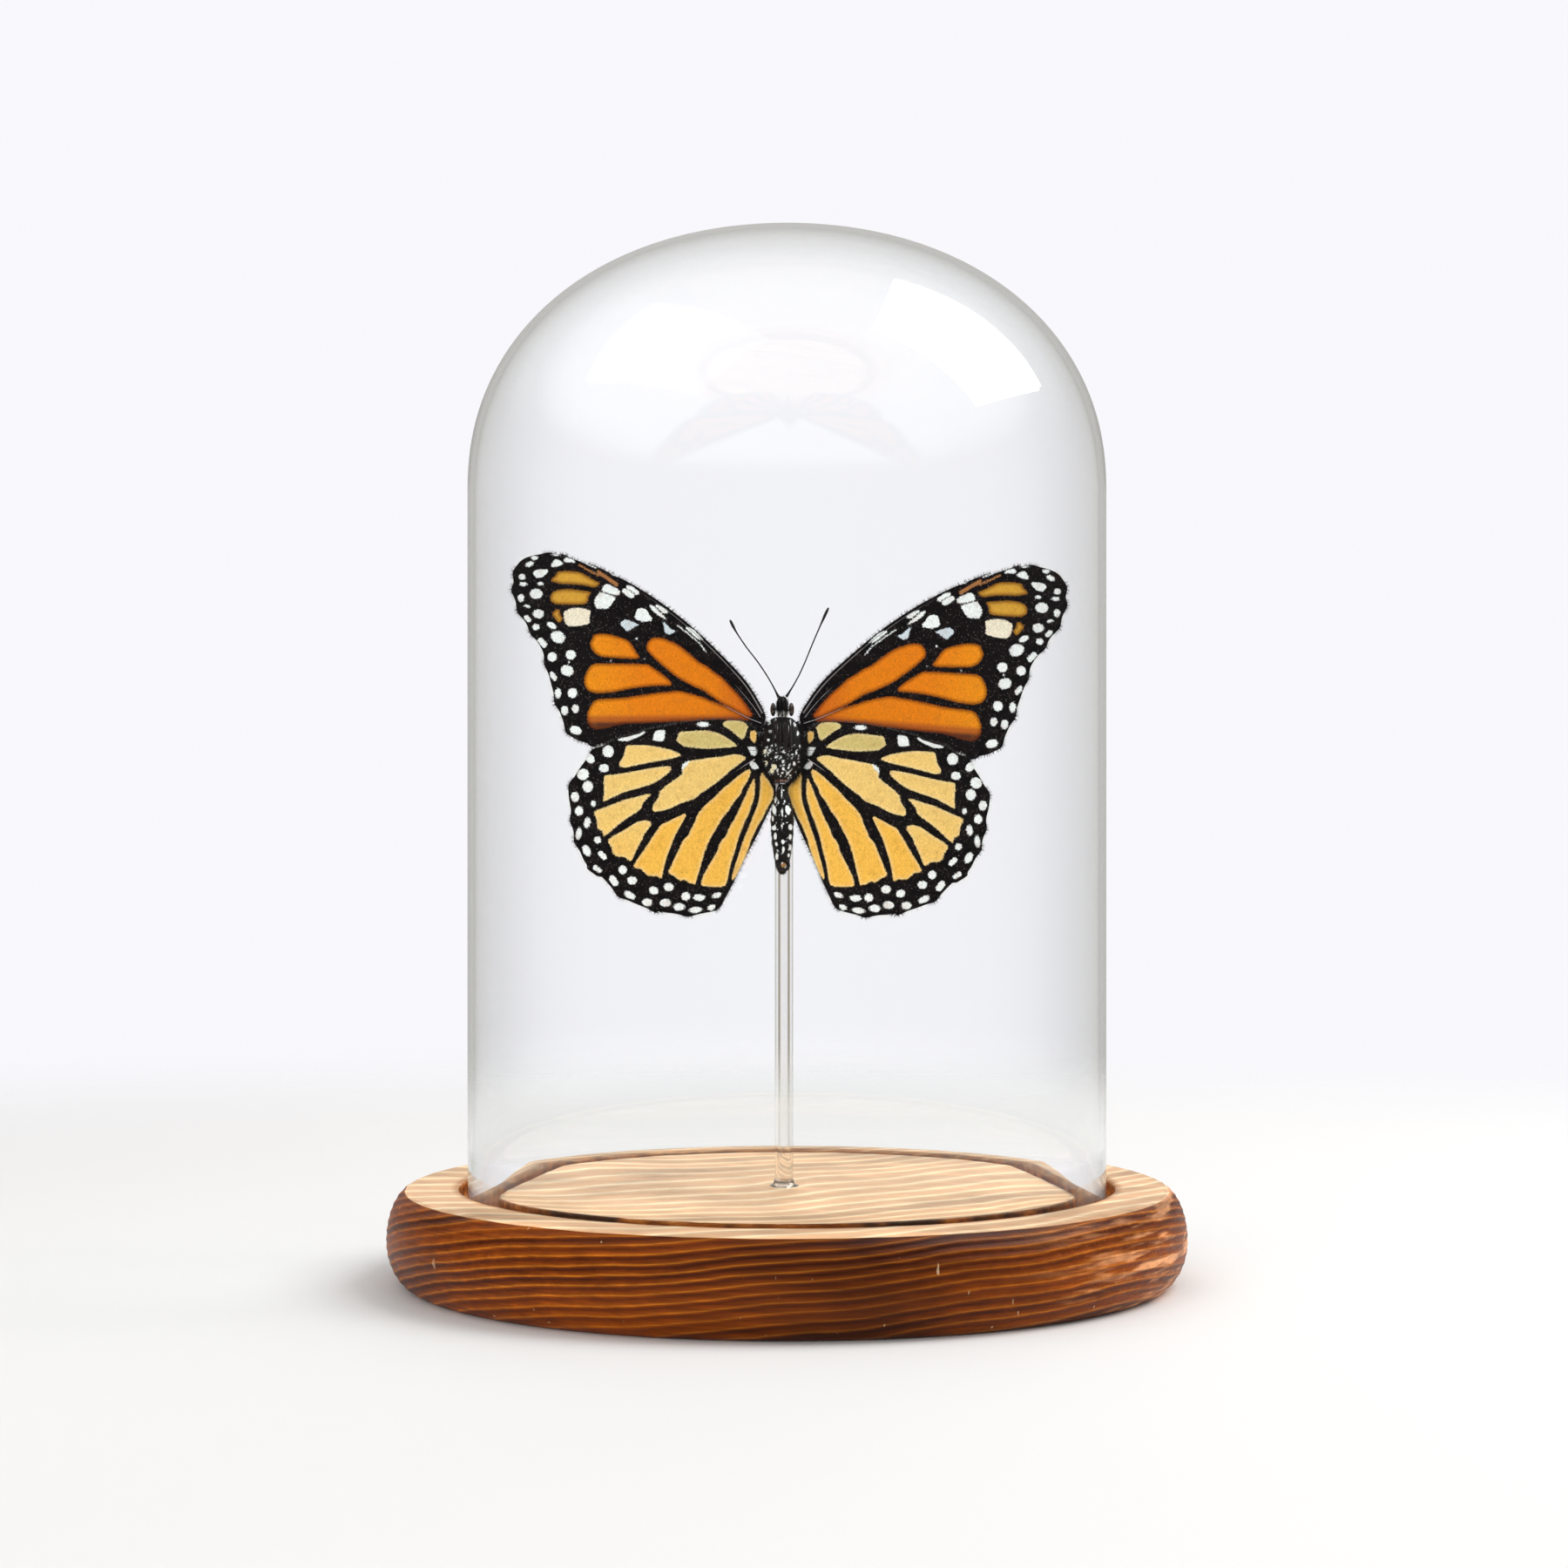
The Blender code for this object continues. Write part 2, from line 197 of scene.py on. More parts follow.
# ---------------------------------------------------------------------------------------------
# Wooden base. One disc of softwood, turned with round sides and a ring groove, scorched and brushed so that
# its growth rings stand proud, then waxed. Its top is paler than its sides: partly lighter wood, partly a
# painted sheen of the bright surroundings seen at a grazing angle.
MM = 0.001  # a millimetre, in metres
BASE_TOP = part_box("wood_base")[1][2]
BASE_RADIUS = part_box("wood_base")[1][0]
BASE_FOOT = BASE_RADIUS - 0.0050
BASE_FLAT = BASE_RADIUS - 0.0044
BASE_WIDEST = 0.0076
GROOVE_INNER = 0.0491
GROOVE_OUTER = 0.0562
GROOVE_DEPTH = 0.0030
EDGE_ROUND = 0.00035
TOP_INSET = 0.0006  # from a rounded edge to the flat top
BASE_STEPS = 420
RING_SPACING = 1.55  # mm between growth rings, measured upwards
RING_RELIEF = 0.00011
RING_LEAN = -0.20  # how steeply the rings sink towards the back
RING_RISE = 0.24  # how steeply they climb on the right
CHIP = 0.00016  # depth of the chips along the groove's burnt edges
CHAR_WIDTH = 0.0007
DARKEST_AT = 12  # mm to the right of the middle, where the front of the side is darkest
DARKEST_WIDTH = 26


def arc(centre, radii, start, end, count):
    """Points of an elliptical arc in (radius, height), angles in degrees from the outward direction."""
    angles = [math.radians(start + (end - start) * i / count) for i in range(count + 1)]
    return [(centre[0] + radii[0] * math.cos(a), centre[1] + radii[1] * math.sin(a)) for a in angles]


def between(start, end, count):
    """count points from start towards end, leaving out the end."""
    return [tuple(a + (b - a) * i / count for a, b in zip(start, end)) for i in range(count)]


def mesh_object(name, points, faces, material=None):
    mesh = bpy.data.meshes.new(name)
    mesh.from_pydata([tuple(p) for p in points], [], faces)
    mesh.update()
    mesh.shade_smooth()
    if material:
        mesh.materials.append(material)
    made = bpy.data.objects.new(name, mesh)
    bpy.context.scene.collection.objects.link(made)
    return made


def store(piece, name, values, kind="FLOAT"):
    """Puts a number or a colour on each vertex."""
    layer = piece.data.attributes.new(name, kind, "POINT")
    field = "value" if kind == "FLOAT" else "color"
    layer.data.foreach_set(field, np.asarray(values, np.float32).reshape(-1))


def turned_grid(profile, steps, closed=False):
    """Points and faces of a profile turned about Z. Its ends on the axis close as poles."""
    points, faces, rings = [], [], []
    for radius, height in profile:
        ring = len(points)
        rings.append((ring, 1 if radius < 1e-9 else steps))
        for i in range(rings[-1][1]):
            angle = 2 * math.pi * i / steps
            points.append((radius * math.cos(angle), radius * math.sin(angle), height))
    pairs = list(zip(rings, rings[1:] + rings[:1] if closed else rings[1:]))
    for (low, low_count), (high, high_count) in pairs:
        for i in range(steps):
            j = (i + 1) % steps
            corners = [low + i % low_count, low + j % low_count, high + j % high_count,
                       high + i % high_count]
            faces.append(list(dict.fromkeys(corners)))
    return np.array(points), faces


def growth_rings(x, y, z):
    """How many growth rings lie below a point given in millimetres."""
    rise = RING_RISE / 2 * (np.sqrt((x - 8) ** 2 + 20 ** 2) + (x - 8))
    wander = 0.42 * np.sin(x / 13 + 0.6) + 0.22 * np.sin(x / 5.1 + y / 17)
    wander += 0.35 * np.sin(y / 14 + x / 31 + 1.1) + 0.05 * np.sin(x / 2.9 + z / 2.7)
    return (z - rise - RING_LEAN * y - wander) / RING_SPACING


groove_floor = BASE_TOP - GROOVE_DEPTH
rim_round = arc((GROOVE_OUTER + EDGE_ROUND, BASE_TOP - EDGE_ROUND), (EDGE_ROUND, EDGE_ROUND), 90, 180, 4)
plateau_round = arc((GROOVE_INNER - EDGE_ROUND, BASE_TOP - EDGE_ROUND), (EDGE_ROUND, EDGE_ROUND), 0, 90, 4)
upper_side = ((BASE_FLAT, BASE_WIDEST), (BASE_RADIUS - BASE_FLAT, BASE_TOP - BASE_WIDEST))
# Stretches of the profile as (points, weight of the side's colours against the top's, burning)
base_stretches = [
    (between((0, 0), (BASE_FOOT, 0), 8), 0.9, 0.2),
    (arc((BASE_FOOT, BASE_WIDEST), (BASE_RADIUS - BASE_FOOT, BASE_WIDEST), -90, 0, 34), 1.0, 0.0),
    (arc(*upper_side, 0, 72, 34)[1:], 1.0, 0.0),
    (arc(*upper_side, 72, 90, 9)[1:], 0.0, 0.0),
    (between((BASE_FLAT - TOP_INSET, BASE_TOP), (GROOVE_OUTER + TOP_INSET, BASE_TOP), 8), 0.0, 0.0),
    (rim_round, 0.0, 0.6),
    (between((GROOVE_OUTER, BASE_TOP - 0.0008), (GROOVE_OUTER, groove_floor + 0.0003), 4), 0.35, 1.0),
    (between((GROOVE_OUTER, groove_floor), (GROOVE_INNER, groove_floor), 7), 0.35, 0.75),
    (between((GROOVE_INNER, groove_floor), (GROOVE_INNER, BASE_TOP - EDGE_ROUND), 7), 0.35, 1.0),
    (plateau_round[:-1], 0.1, 1.0),
    (between((GROOVE_INNER - EDGE_ROUND, BASE_TOP), (0.0002, BASE_TOP), 56), 0.0, 0.0),
    ([(0, BASE_TOP)], 0.0, 0.0),
]
base_profile = [point for points, _, _ in base_stretches for point in points]
points, faces = turned_grid(base_profile, BASE_STEPS)
ring_sizes = [1 if radius < 1e-9 else BASE_STEPS for radius, _ in base_profile]
side_weight = np.repeat([s for stretch, s, _ in base_stretches for _ in stretch], ring_sizes)
burn = np.repeat([b for stretch, _, b in base_stretches for _ in stretch], ring_sizes)
slope_r = np.repeat(np.gradient([radius for radius, _ in base_profile]), ring_sizes)
slope_z = np.repeat(np.gradient([height for _, height in base_profile]), ring_sizes)
slope = np.hypot(slope_r, slope_z) + 1e-12
radius = np.hypot(points[:, 0], points[:, 1]) + 1e-9
x, y, z = (points / MM).T
growth = growth_rings(x, y, z)
around = np.arctan2(points[:, 1], points[:, 0])
chips = np.sin(around * 61 + 2 * np.sin(around * 23)) * np.sin(around * 37 + 1) - 0.25
ridge = np.cos(2 * math.pi * growth) * 0.5 + 0.25 * np.sin(2 * math.pi * growth * 3 + x / 3)
sunk = RING_RELIEF * ridge * np.where(side_weight > 0.8, 1.0, 0.22) - CHIP * np.clip(chips, 0, 1) * (burn > 0.9)
flat_foot = points[:, 2] < 0.0004
sunk[flat_foot] = 0
points[:, 0] += sunk * slope_z / slope * points[:, 0] / radius
points[:, 1] += sunk * slope_z / slope * points[:, 1] / radius
points[:, 2] -= sunk * slope_r / slope

scorched_wood, wood, wood_shader = new_material("scorched_wood")
place = node(wood, "ShaderNodeTexCoord").outputs["Object"]


def attribute(tree, name, output="Fac"):
    return node(tree, "ShaderNodeAttribute", attribute_name=name).outputs[output]


def noise(tree, vector, scale, detail=2.0, rough=0.5, output="Fac"):
    values = {"Vector": vector, "Scale": scale, "Detail": detail, "Roughness": rough}
    return node(tree, "ShaderNodeTexNoise", values).outputs[output]


def stretched(tree, vector, scale, turn=(0, 0, 0)):
    return node(tree, "ShaderNodeMapping", {"Vector": vector, "Scale": scale, "Rotation": turn}).outputs[0]


along_grain = (0.0, math.radians(-4), math.radians(-8))
fibres = noise(wood, stretched(wood, place, (90, 600, 900), along_grain), 1.0, 4.0, 0.65)
wobble = noise(wood, stretched(wood, place, (110, 110, 300)), 1.0, 2.0)
pores = noise(wood, place, 2600, 3.0, 0.7)
clouds = noise(wood, place, 45, 3.0, 0.6)
rings = maths(wood, "ADD", attribute(wood, "growth"),
              maths(wood, "MULTIPLY", maths(wood, "SUBTRACT", wobble, 0.5), 0.32))
share = maths(wood, "FRACT", rings)
ring_tone = node(wood, "ShaderNodeTexWhiteNoise", {"W": maths(wood, "FLOOR", rings)},
                 noise_dimensions="1D").outputs[0]
side_colour = ramp(
    wood, share, (0.0, (0.62, 0.30, 0.085)), (0.07, (0.47, 0.195, 0.045)), (0.18, (0.34, 0.115, 0.020)),
    (0.40, (0.25, 0.078, 0.013)), (0.62, (0.135, 0.038, 0.008)), (0.78, (0.20, 0.060, 0.011)),
    (0.90, (0.36, 0.125, 0.024)), (0.96, (0.52, 0.23, 0.058)), (1.0, (0.62, 0.30, 0.085)),
)
# The top's colours: tan wood, made paler by a painted sheen of the bright surroundings at a grazing angle.
top_wood_and_sheen = ramp(
    wood, share, (0.0, (0.93, 0.73, 0.47)), (0.10, (0.86, 0.61, 0.37)), (0.22, (0.73, 0.44, 0.245)),
    (0.60, (0.68, 0.40, 0.22)), (0.86, (0.76, 0.49, 0.28)), (1.0, (0.93, 0.73, 0.47)),
)
side_colour = blend(wood, maths(wood, "MULTIPLY", ring_tone, 0.7), side_colour, (0.26, 0.088, 0.014, 1))
burnt_colour = ramp(wood, fibres, (0.3, (0.10, 0.022, 0.004)), (0.5, (0.30, 0.085, 0.012)),
                    (0.72, (0.52, 0.20, 0.04)))
# Pale streaks along the grain on the right: a painted glint of the right soft box on the waxed side.
right_side = step_between(wood, node(wood, "ShaderNodeSeparateXYZ", {0: place}).outputs[0], 0.030, 0.066)
glint_streaks = noise(wood, stretched(wood, place, (45, 45, 420), along_grain), 1.0, 3.0, 0.6)
painted_glint = maths(wood, "MULTIPLY", right_side, step_between(wood, glint_streaks, 0.47, 0.60))
side_colour = blend(wood, maths(wood, "MULTIPLY", painted_glint, 0.8), side_colour, (0.80, 0.50, 0.60, 1))
# Pale speckles in the pores, most on the right: painted glints.
glint_speckles = maths(wood, "MULTIPLY", step_between(wood, pores, 0.60, 0.72),
                 maths(wood, "ADD", right_side, 0.12))
side_colour = blend(wood, maths(wood, "MULTIPLY", glint_speckles, 0.5), side_colour, (0.62, 0.46, 0.60, 1))
# Top to side by the side weight; the top's paler colours carry the painted sheen.
surface = blend(wood, attribute(wood, "side_weight"), top_wood_and_sheen, side_colour)
surface = blend(wood, attribute(wood, "burn"), surface, burnt_colour)
charred = maths(wood, "MULTIPLY", attribute(wood, "char"), step_between(wood, clouds, 0.44, 0.60))
surface = blend(wood, charred, surface, (0.028, 0.011, 0.005, 1))
tone = maths(wood, "MULTIPLY_ADD", fibres, 0.85, maths(wood, "MULTIPLY", ring_tone, 0.42))
tone = maths(wood, "ADD", tone, 0.34)
streaks = noise(wood, stretched(wood, place, (70, 70, 3000), along_grain), 1.0, 2.0, 0.5)
tone = maths(wood, "MULTIPLY", tone, maths(wood, "MULTIPLY_ADD", streaks, 0.9, 0.55))
tone = maths(wood, "MULTIPLY", tone, maths(wood, "MULTIPLY_ADD", clouds, 0.7, 0.65))
# Darker on the front of the side, a little right of the middle.
tone = maths(wood, "MULTIPLY", tone,
             maths(wood, "SUBTRACT", 1.0, maths(wood, "MULTIPLY", attribute(wood, "front_darkening"), 0.5)))
nick_noise = noise(wood, stretched(wood, place, (900, 900, 190)), 1.0, 1.0)
nicks = maths(wood, "MULTIPLY", step_between(wood, nick_noise, 0.76, 0.80), attribute(wood, "side_weight"))
surface = blend(wood, 1.0, surface,
                node(wood, "ShaderNodeCombineColor", {0: tone, 1: tone, 2: tone}).outputs[0],
                "MULTIPLY")
deep = node(wood, "ShaderNodeGamma", {"Color": surface, "Gamma": 1.38}).outputs[0]
deep = blend(wood, 1.0, deep, (1.12, 1.0, 0.35, 1), "MULTIPLY")
surface = blend(wood, attribute(wood, "side_weight"), surface, deep)
surface = blend(wood, maths(wood, "MULTIPLY", nicks, 0.35), surface, (0.80, 0.58, 0.34, 1))
wood.links.new(surface, wood_shader.inputs["Base Color"])
wood.links.new(maths(wood, "MULTIPLY_ADD", fibres, 0.30, 0.28), wood_shader.inputs["Roughness"])
wood_shader.inputs["Specular IOR Level"].default_value = 0.12
relief = maths(wood, "ADD", fibres, maths(wood, "MULTIPLY", pores, 0.5))
bump = node(wood, "ShaderNodeBump", {"Height": relief, "Strength": 0.55, "Distance": 0.00012})
wood.links.new(bump.outputs[0], wood_shader.inputs["Normal"])

base = mesh_object("wood_base_turned", points, faces, scorched_wood)
store(base, "growth", growth)
store(base, "side_weight", side_weight)
store(base, "burn", burn)
store(base, "front_darkening", np.exp(-((x - DARKEST_AT) / DARKEST_WIDTH) ** 2) * (side_weight > 0.8) * (y < 0))
edge_of_plateau = np.abs(radius - GROOVE_INNER) / CHAR_WIDTH
store(base, "char", np.exp(-edge_of_plateau ** 2) * (points[:, 2] > BASE_TOP - 0.0012))
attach(base, "root")
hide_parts("wood_base")


# ---------------------------------------------------------------------------------------------
# Glass dome. A blown soda-glass bell with an even wall, a slightly squared crown and a fire-polished lip,
# standing loose in the groove. It is clear, with the faint green of its thickness at the edges.
DOME_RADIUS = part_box("glass_dome")[1][0]
DOME_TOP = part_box("glass_dome")[1][2]
DOME_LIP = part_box("glass_dome")[0][2]
DOME_WALL = 0.0010  # thinner than the solid model's, so that the view through it bends less
DOME_CROWN = 0.0450
DOME_SQUARENESS = 2.15
DOME_STEPS = 144
CROWN_ROWS = 40


def crown(outer, top, rise):
    """The shoulder and crown from the straight wall up to the axis, as a superellipse."""
    angles = [math.pi / 2 * (i / CROWN_ROWS) ** 1.2 for i in range(CROWN_ROWS)]
    power = 2 / DOME_SQUARENESS
    curve = [(outer * math.cos(a) ** power, top - rise + rise * math.sin(a) ** power) for a in angles]
    return curve + [(0, top)]


lip_round = DOME_WALL / 2
outside = crown(DOME_RADIUS, DOME_TOP, DOME_CROWN)
inside = crown(DOME_RADIUS - DOME_WALL, DOME_TOP - DOME_WALL, DOME_CROWN - DOME_WALL / 2)
lip = arc((DOME_RADIUS - lip_round, DOME_LIP + lip_round), (lip_round, lip_round), 0, -180, 12)
wall_rows = between((DOME_RADIUS, DOME_TOP - DOME_CROWN), (DOME_RADIUS, DOME_LIP + lip_round), 12)[1:]
inner_rows = [(r - DOME_WALL, h) for r, h in wall_rows[::-1]]
dome_points, dome_faces = turned_grid(outside[::-1] + wall_rows + lip + inner_rows + inside, DOME_STEPS)
dome_faces = [face[::-1] for face in dome_faces]


def clear_material(name, tint, roughness, ior, absorbed, density):
    """Clear glass or plastic, which lets the lamps through to what is behind it."""
    material, tree, shader = new_material(name)
    shader.inputs["Base Color"].default_value = tint
    shader.inputs["Roughness"].default_value = roughness
    shader.inputs["IOR"].default_value = ior
    shader.inputs["Transmission Weight"].default_value = 1.0
    shadow = node(tree, "ShaderNodeLightPath").outputs["Is Shadow Ray"]
    through = node(tree, "ShaderNodeBsdfTransparent", {"Color": (0.95, 0.96, 0.96, 1)}).outputs[0]
    join = node(tree, "ShaderNodeMixShader", {0: shadow, 1: shader.outputs[0], 2: through})
    tree.links.new(join.outputs[0], tree.nodes["Material Output"].inputs["Surface"])
    volume = node(tree, "ShaderNodeVolumeAbsorption", {"Color": absorbed, "Density": density})
    tree.links.new(volume.outputs[0], tree.nodes["Material Output"].inputs["Volume"])
    return material


blown_glass = clear_material("blown_glass", tint=(0.99, 1.0, 0.995, 1), roughness=0.0, ior=1.50,
                             absorbed=(0.62, 0.72, 0.62, 1), density=9.0)
dome = mesh_object("glass_dome_blown", dome_points, dome_faces, blown_glass)
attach(dome, "root")
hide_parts("glass_dome")


# ---------------------------------------------------------------------------------------------
# Clear rod and its glue. A polished acrylic rod stands in a ring of glue on the base, and a dab of the same
# glue holds the insect's thorax against its upper end.
ROD_X = (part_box("support_rod")[0][0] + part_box("support_rod")[1][0]) / 2
ROD_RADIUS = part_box("support_rod")[1][0] - ROD_X
ROD_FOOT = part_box("support_rod")[0][2]
ROD_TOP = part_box("support_rod")[1][2]
ROD_CHAMFER = 0.00018
ROD_SIDES = 48

rod_profile = [(0, ROD_FOOT), (ROD_RADIUS - ROD_CHAMFER, ROD_FOOT), (ROD_RADIUS, ROD_FOOT + ROD_CHAMFER)]
rod_profile += between((ROD_RADIUS, ROD_FOOT + ROD_CHAMFER), (ROD_RADIUS, ROD_TOP - ROD_CHAMFER), 24)[1:]
rod_profile += [(ROD_RADIUS, ROD_TOP - ROD_CHAMFER), (ROD_RADIUS - ROD_CHAMFER, ROD_TOP), (0, ROD_TOP)]
rod_points, rod_faces = turned_grid(rod_profile, ROD_SIDES)
rod_points[:, 0] += ROD_X
clear_acrylic = clear_material("clear_acrylic", tint=(0.985, 0.98, 0.97, 1), roughness=0.02, ior=1.49,
                               absorbed=(0.8, 0.74, 0.62, 1), density=60.0)
rod = mesh_object("support_rod_clear", rod_points, rod_faces, clear_acrylic)
rod.data.set_sharp_from_angle(angle=math.radians(30))

clear_glue = clear_material("clear_glue", tint=(0.96, 0.93, 0.86, 1), roughness=0.12, ior=1.48,
                            absorbed=(0.8, 0.7, 0.5, 1), density=90.0)
glue_inner = ROD_RADIUS + 0.00012
glue_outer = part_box("glue_ring")[1][0] - ROD_X
glue_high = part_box("glue_ring")[1][2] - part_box("glue_ring")[0][2]
glue_profile = [(glue_inner, 0), (glue_outer, 0)] + [
    (glue_outer + (glue_inner - glue_outer) * t ** 0.6, glue_high * t ** 1.7)
    for t in (0.2, 0.4, 0.6, 0.8, 1.0)
]
ring_points, ring_faces = turned_grid(glue_profile, ROD_SIDES, closed=True)
ring_angle = np.arctan2(ring_points[:, 1], ring_points[:, 0])
ring_swell = 1 + 0.10 * np.sin(ring_angle * 3 + 0.7) + 0.06 * np.sin(ring_angle * 5)
outwards = np.hypot(ring_points[:, 0], ring_points[:, 1])
swollen = glue_inner + (outwards - glue_inner) * ring_swell
ring_points[:, 0] = ROD_X + ring_points[:, 0] * swollen / outwards
ring_points[:, 1] *= swollen / outwards
ring_points[:, 2] += ROD_FOOT
glue_ring = mesh_object("glue_ring_set", ring_points, ring_faces, clear_glue)

dab_low, dab_high = (np.array(corner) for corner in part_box("glue_dab"))
dab_bm = bmesh.new()
bmesh.ops.create_icosphere(dab_bm, subdivisions=4, radius=1)
dab_unit = np.array([vertex.co for vertex in dab_bm.verts])
dab_faces = [[vertex.index for vertex in face.verts] for face in dab_bm.faces]
dab_bm.free()
dab_lumps = 1 + 0.06 * np.sin(dab_unit[:, 0] * 5 + dab_unit[:, 2] * 4) - 0.05
dab_points = (dab_low + dab_high) / 2 + dab_unit * dab_lumps[:, None] * (dab_high - dab_low) / 2
glue_dab = mesh_object("glue_dab_set", dab_points, dab_faces, clear_glue)
for piece, replaced, finish in (
    (rod, "support_rod", "clear_acrylic"), (glue_ring, "glue_ring", "clear_glue"),
    (glue_dab, "glue_dab", "clear_glue"),
):
    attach(piece, "root")
    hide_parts(replaced)


# ---------------------------------------------------------------------------------------------
# Wings. Each is one dried membrane, covered on both faces with fine scales that make the colours: cells of
# orange and buff between black veins, and a black margin with two rows of white spots. The forewings lie
# behind the hindwings, and the right pair is turned down a little, as it dried.
BODY_X = (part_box("thorax")[0][0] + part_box("thorax")[1][0]) / 2
BODY_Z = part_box("thorax")[1][2] - 6.9 * MM
FOREWING_Y = -0.0035
HINDWING_Y = -0.0043
DIHEDRAL = 0.05
WING_HINGE = (3.0, 5.0)
# Each wing's turn about its hinge and its size: the right wings are set a little lower
WING_SETS = {
    "forewing_left": (0.0, 1.0), "forewing_right": (math.radians(-4), 1.02),
    "hindwing_left": (0.0, 1.0), "hindwing_right": (math.radians(-3), 0.985),
}
MEMBRANE = 0.14  # mm
SHEETS = (-MEMBRANE / 2, MEMBRANE / 2)  # mm from its middle to either side
UPPER_MAP = (0, 80)  # mm between the two sides' drawings in the UV map
WING_MESH = 0.25  # mm between the membrane's points
RIM_GLOW = 0.42
SCALLOP = 0.42  # mm that the margin is drawn in between two veins
CREASE = 0.10  # mm that the membrane sinks between two veins

# The wings' own drawings are in millimetres: u outwards from the body's axis and v upwards from mid-thorax.
FOREWING_EDGE = [
    (3.1, 7.9), (6.0, 12.8), (10.0, 17.2), (15.0, 22.0), (20.0, 26.0), (25.0, 29.3), (30.0, 31.9),
    (35.0, 34.2), (39.0, 35.15), (42.0, 35.25), (44.6, 34.5), (46.0, 33.0), (46.5, 30.5), (46.5, 27.8),
    (45.4, 24.6), (43.3, 21.2), (41.4, 17.8), (40.6, 14.5), (39.8, 11.5), (38.6, 7.8), (37.3, 4.6),
    (35.6, 2.8), (33.0, 2.0), (29.0, 1.6), (20.0, 1.8), (12.0, 2.6), (6.0, 3.6), (3.6, 4.6), (3.0, 6.0),
]
HINDWING_EDGE = [
    (3.9, 3.6), (6.0, 5.9), (9.0, 6.4), (13.0, 6.4), (17.0, 5.95), (21.0, 5.15), (25.0, 4.4), (28.5, 3.25),
    (32.1, 1.75), (34.4, -0.7), (36.2, -3.6), (37.0, -6.3), (36.5, -9.5), (36.2, -12.5), (35.3, -15.4),
    (33.8, -18.6), (31.2, -20.7), (28.4, -23.6), (25.2, -25.4), (21.0, -26.7), (16.0, -27.25),
    (13.2, -26.9), (10.8, -25.8), (9.1, -23.0), (6.9, -18.2), (4.5, -13.7), (2.3, -9.2), (1.3, -7.0),
    (1.1, -5.2), (1.5, -3.9), (2.6, -2.0), (3.4, 1.0),
]

# Colours of the scales. Each drawn cell or spot has one for the underside and one for the upper side.
ORANGE = (0.80, 0.215, 0.008)
RED_ORANGE = (0.60, 0.10, 0.012)
OCHRE = (0.68, 0.36, 0.045)
TAN = (0.40, 0.17, 0.06)
BUFF = (0.92, 0.62, 0.20)
OLIVE_BUFF = (0.66, 0.52, 0.19)
GOLD = (0.95, 0.52, 0.085)
WHITE = (0.90, 0.93, 0.92)
CREAM = (0.93, 0.84, 0.66)
BLUISH = (0.66, 0.74, 0.80)
UPPER_ORANGE = (0.82, 0.20, 0.006)
UPPER_BROWN = (0.50, 0.13, 0.012)

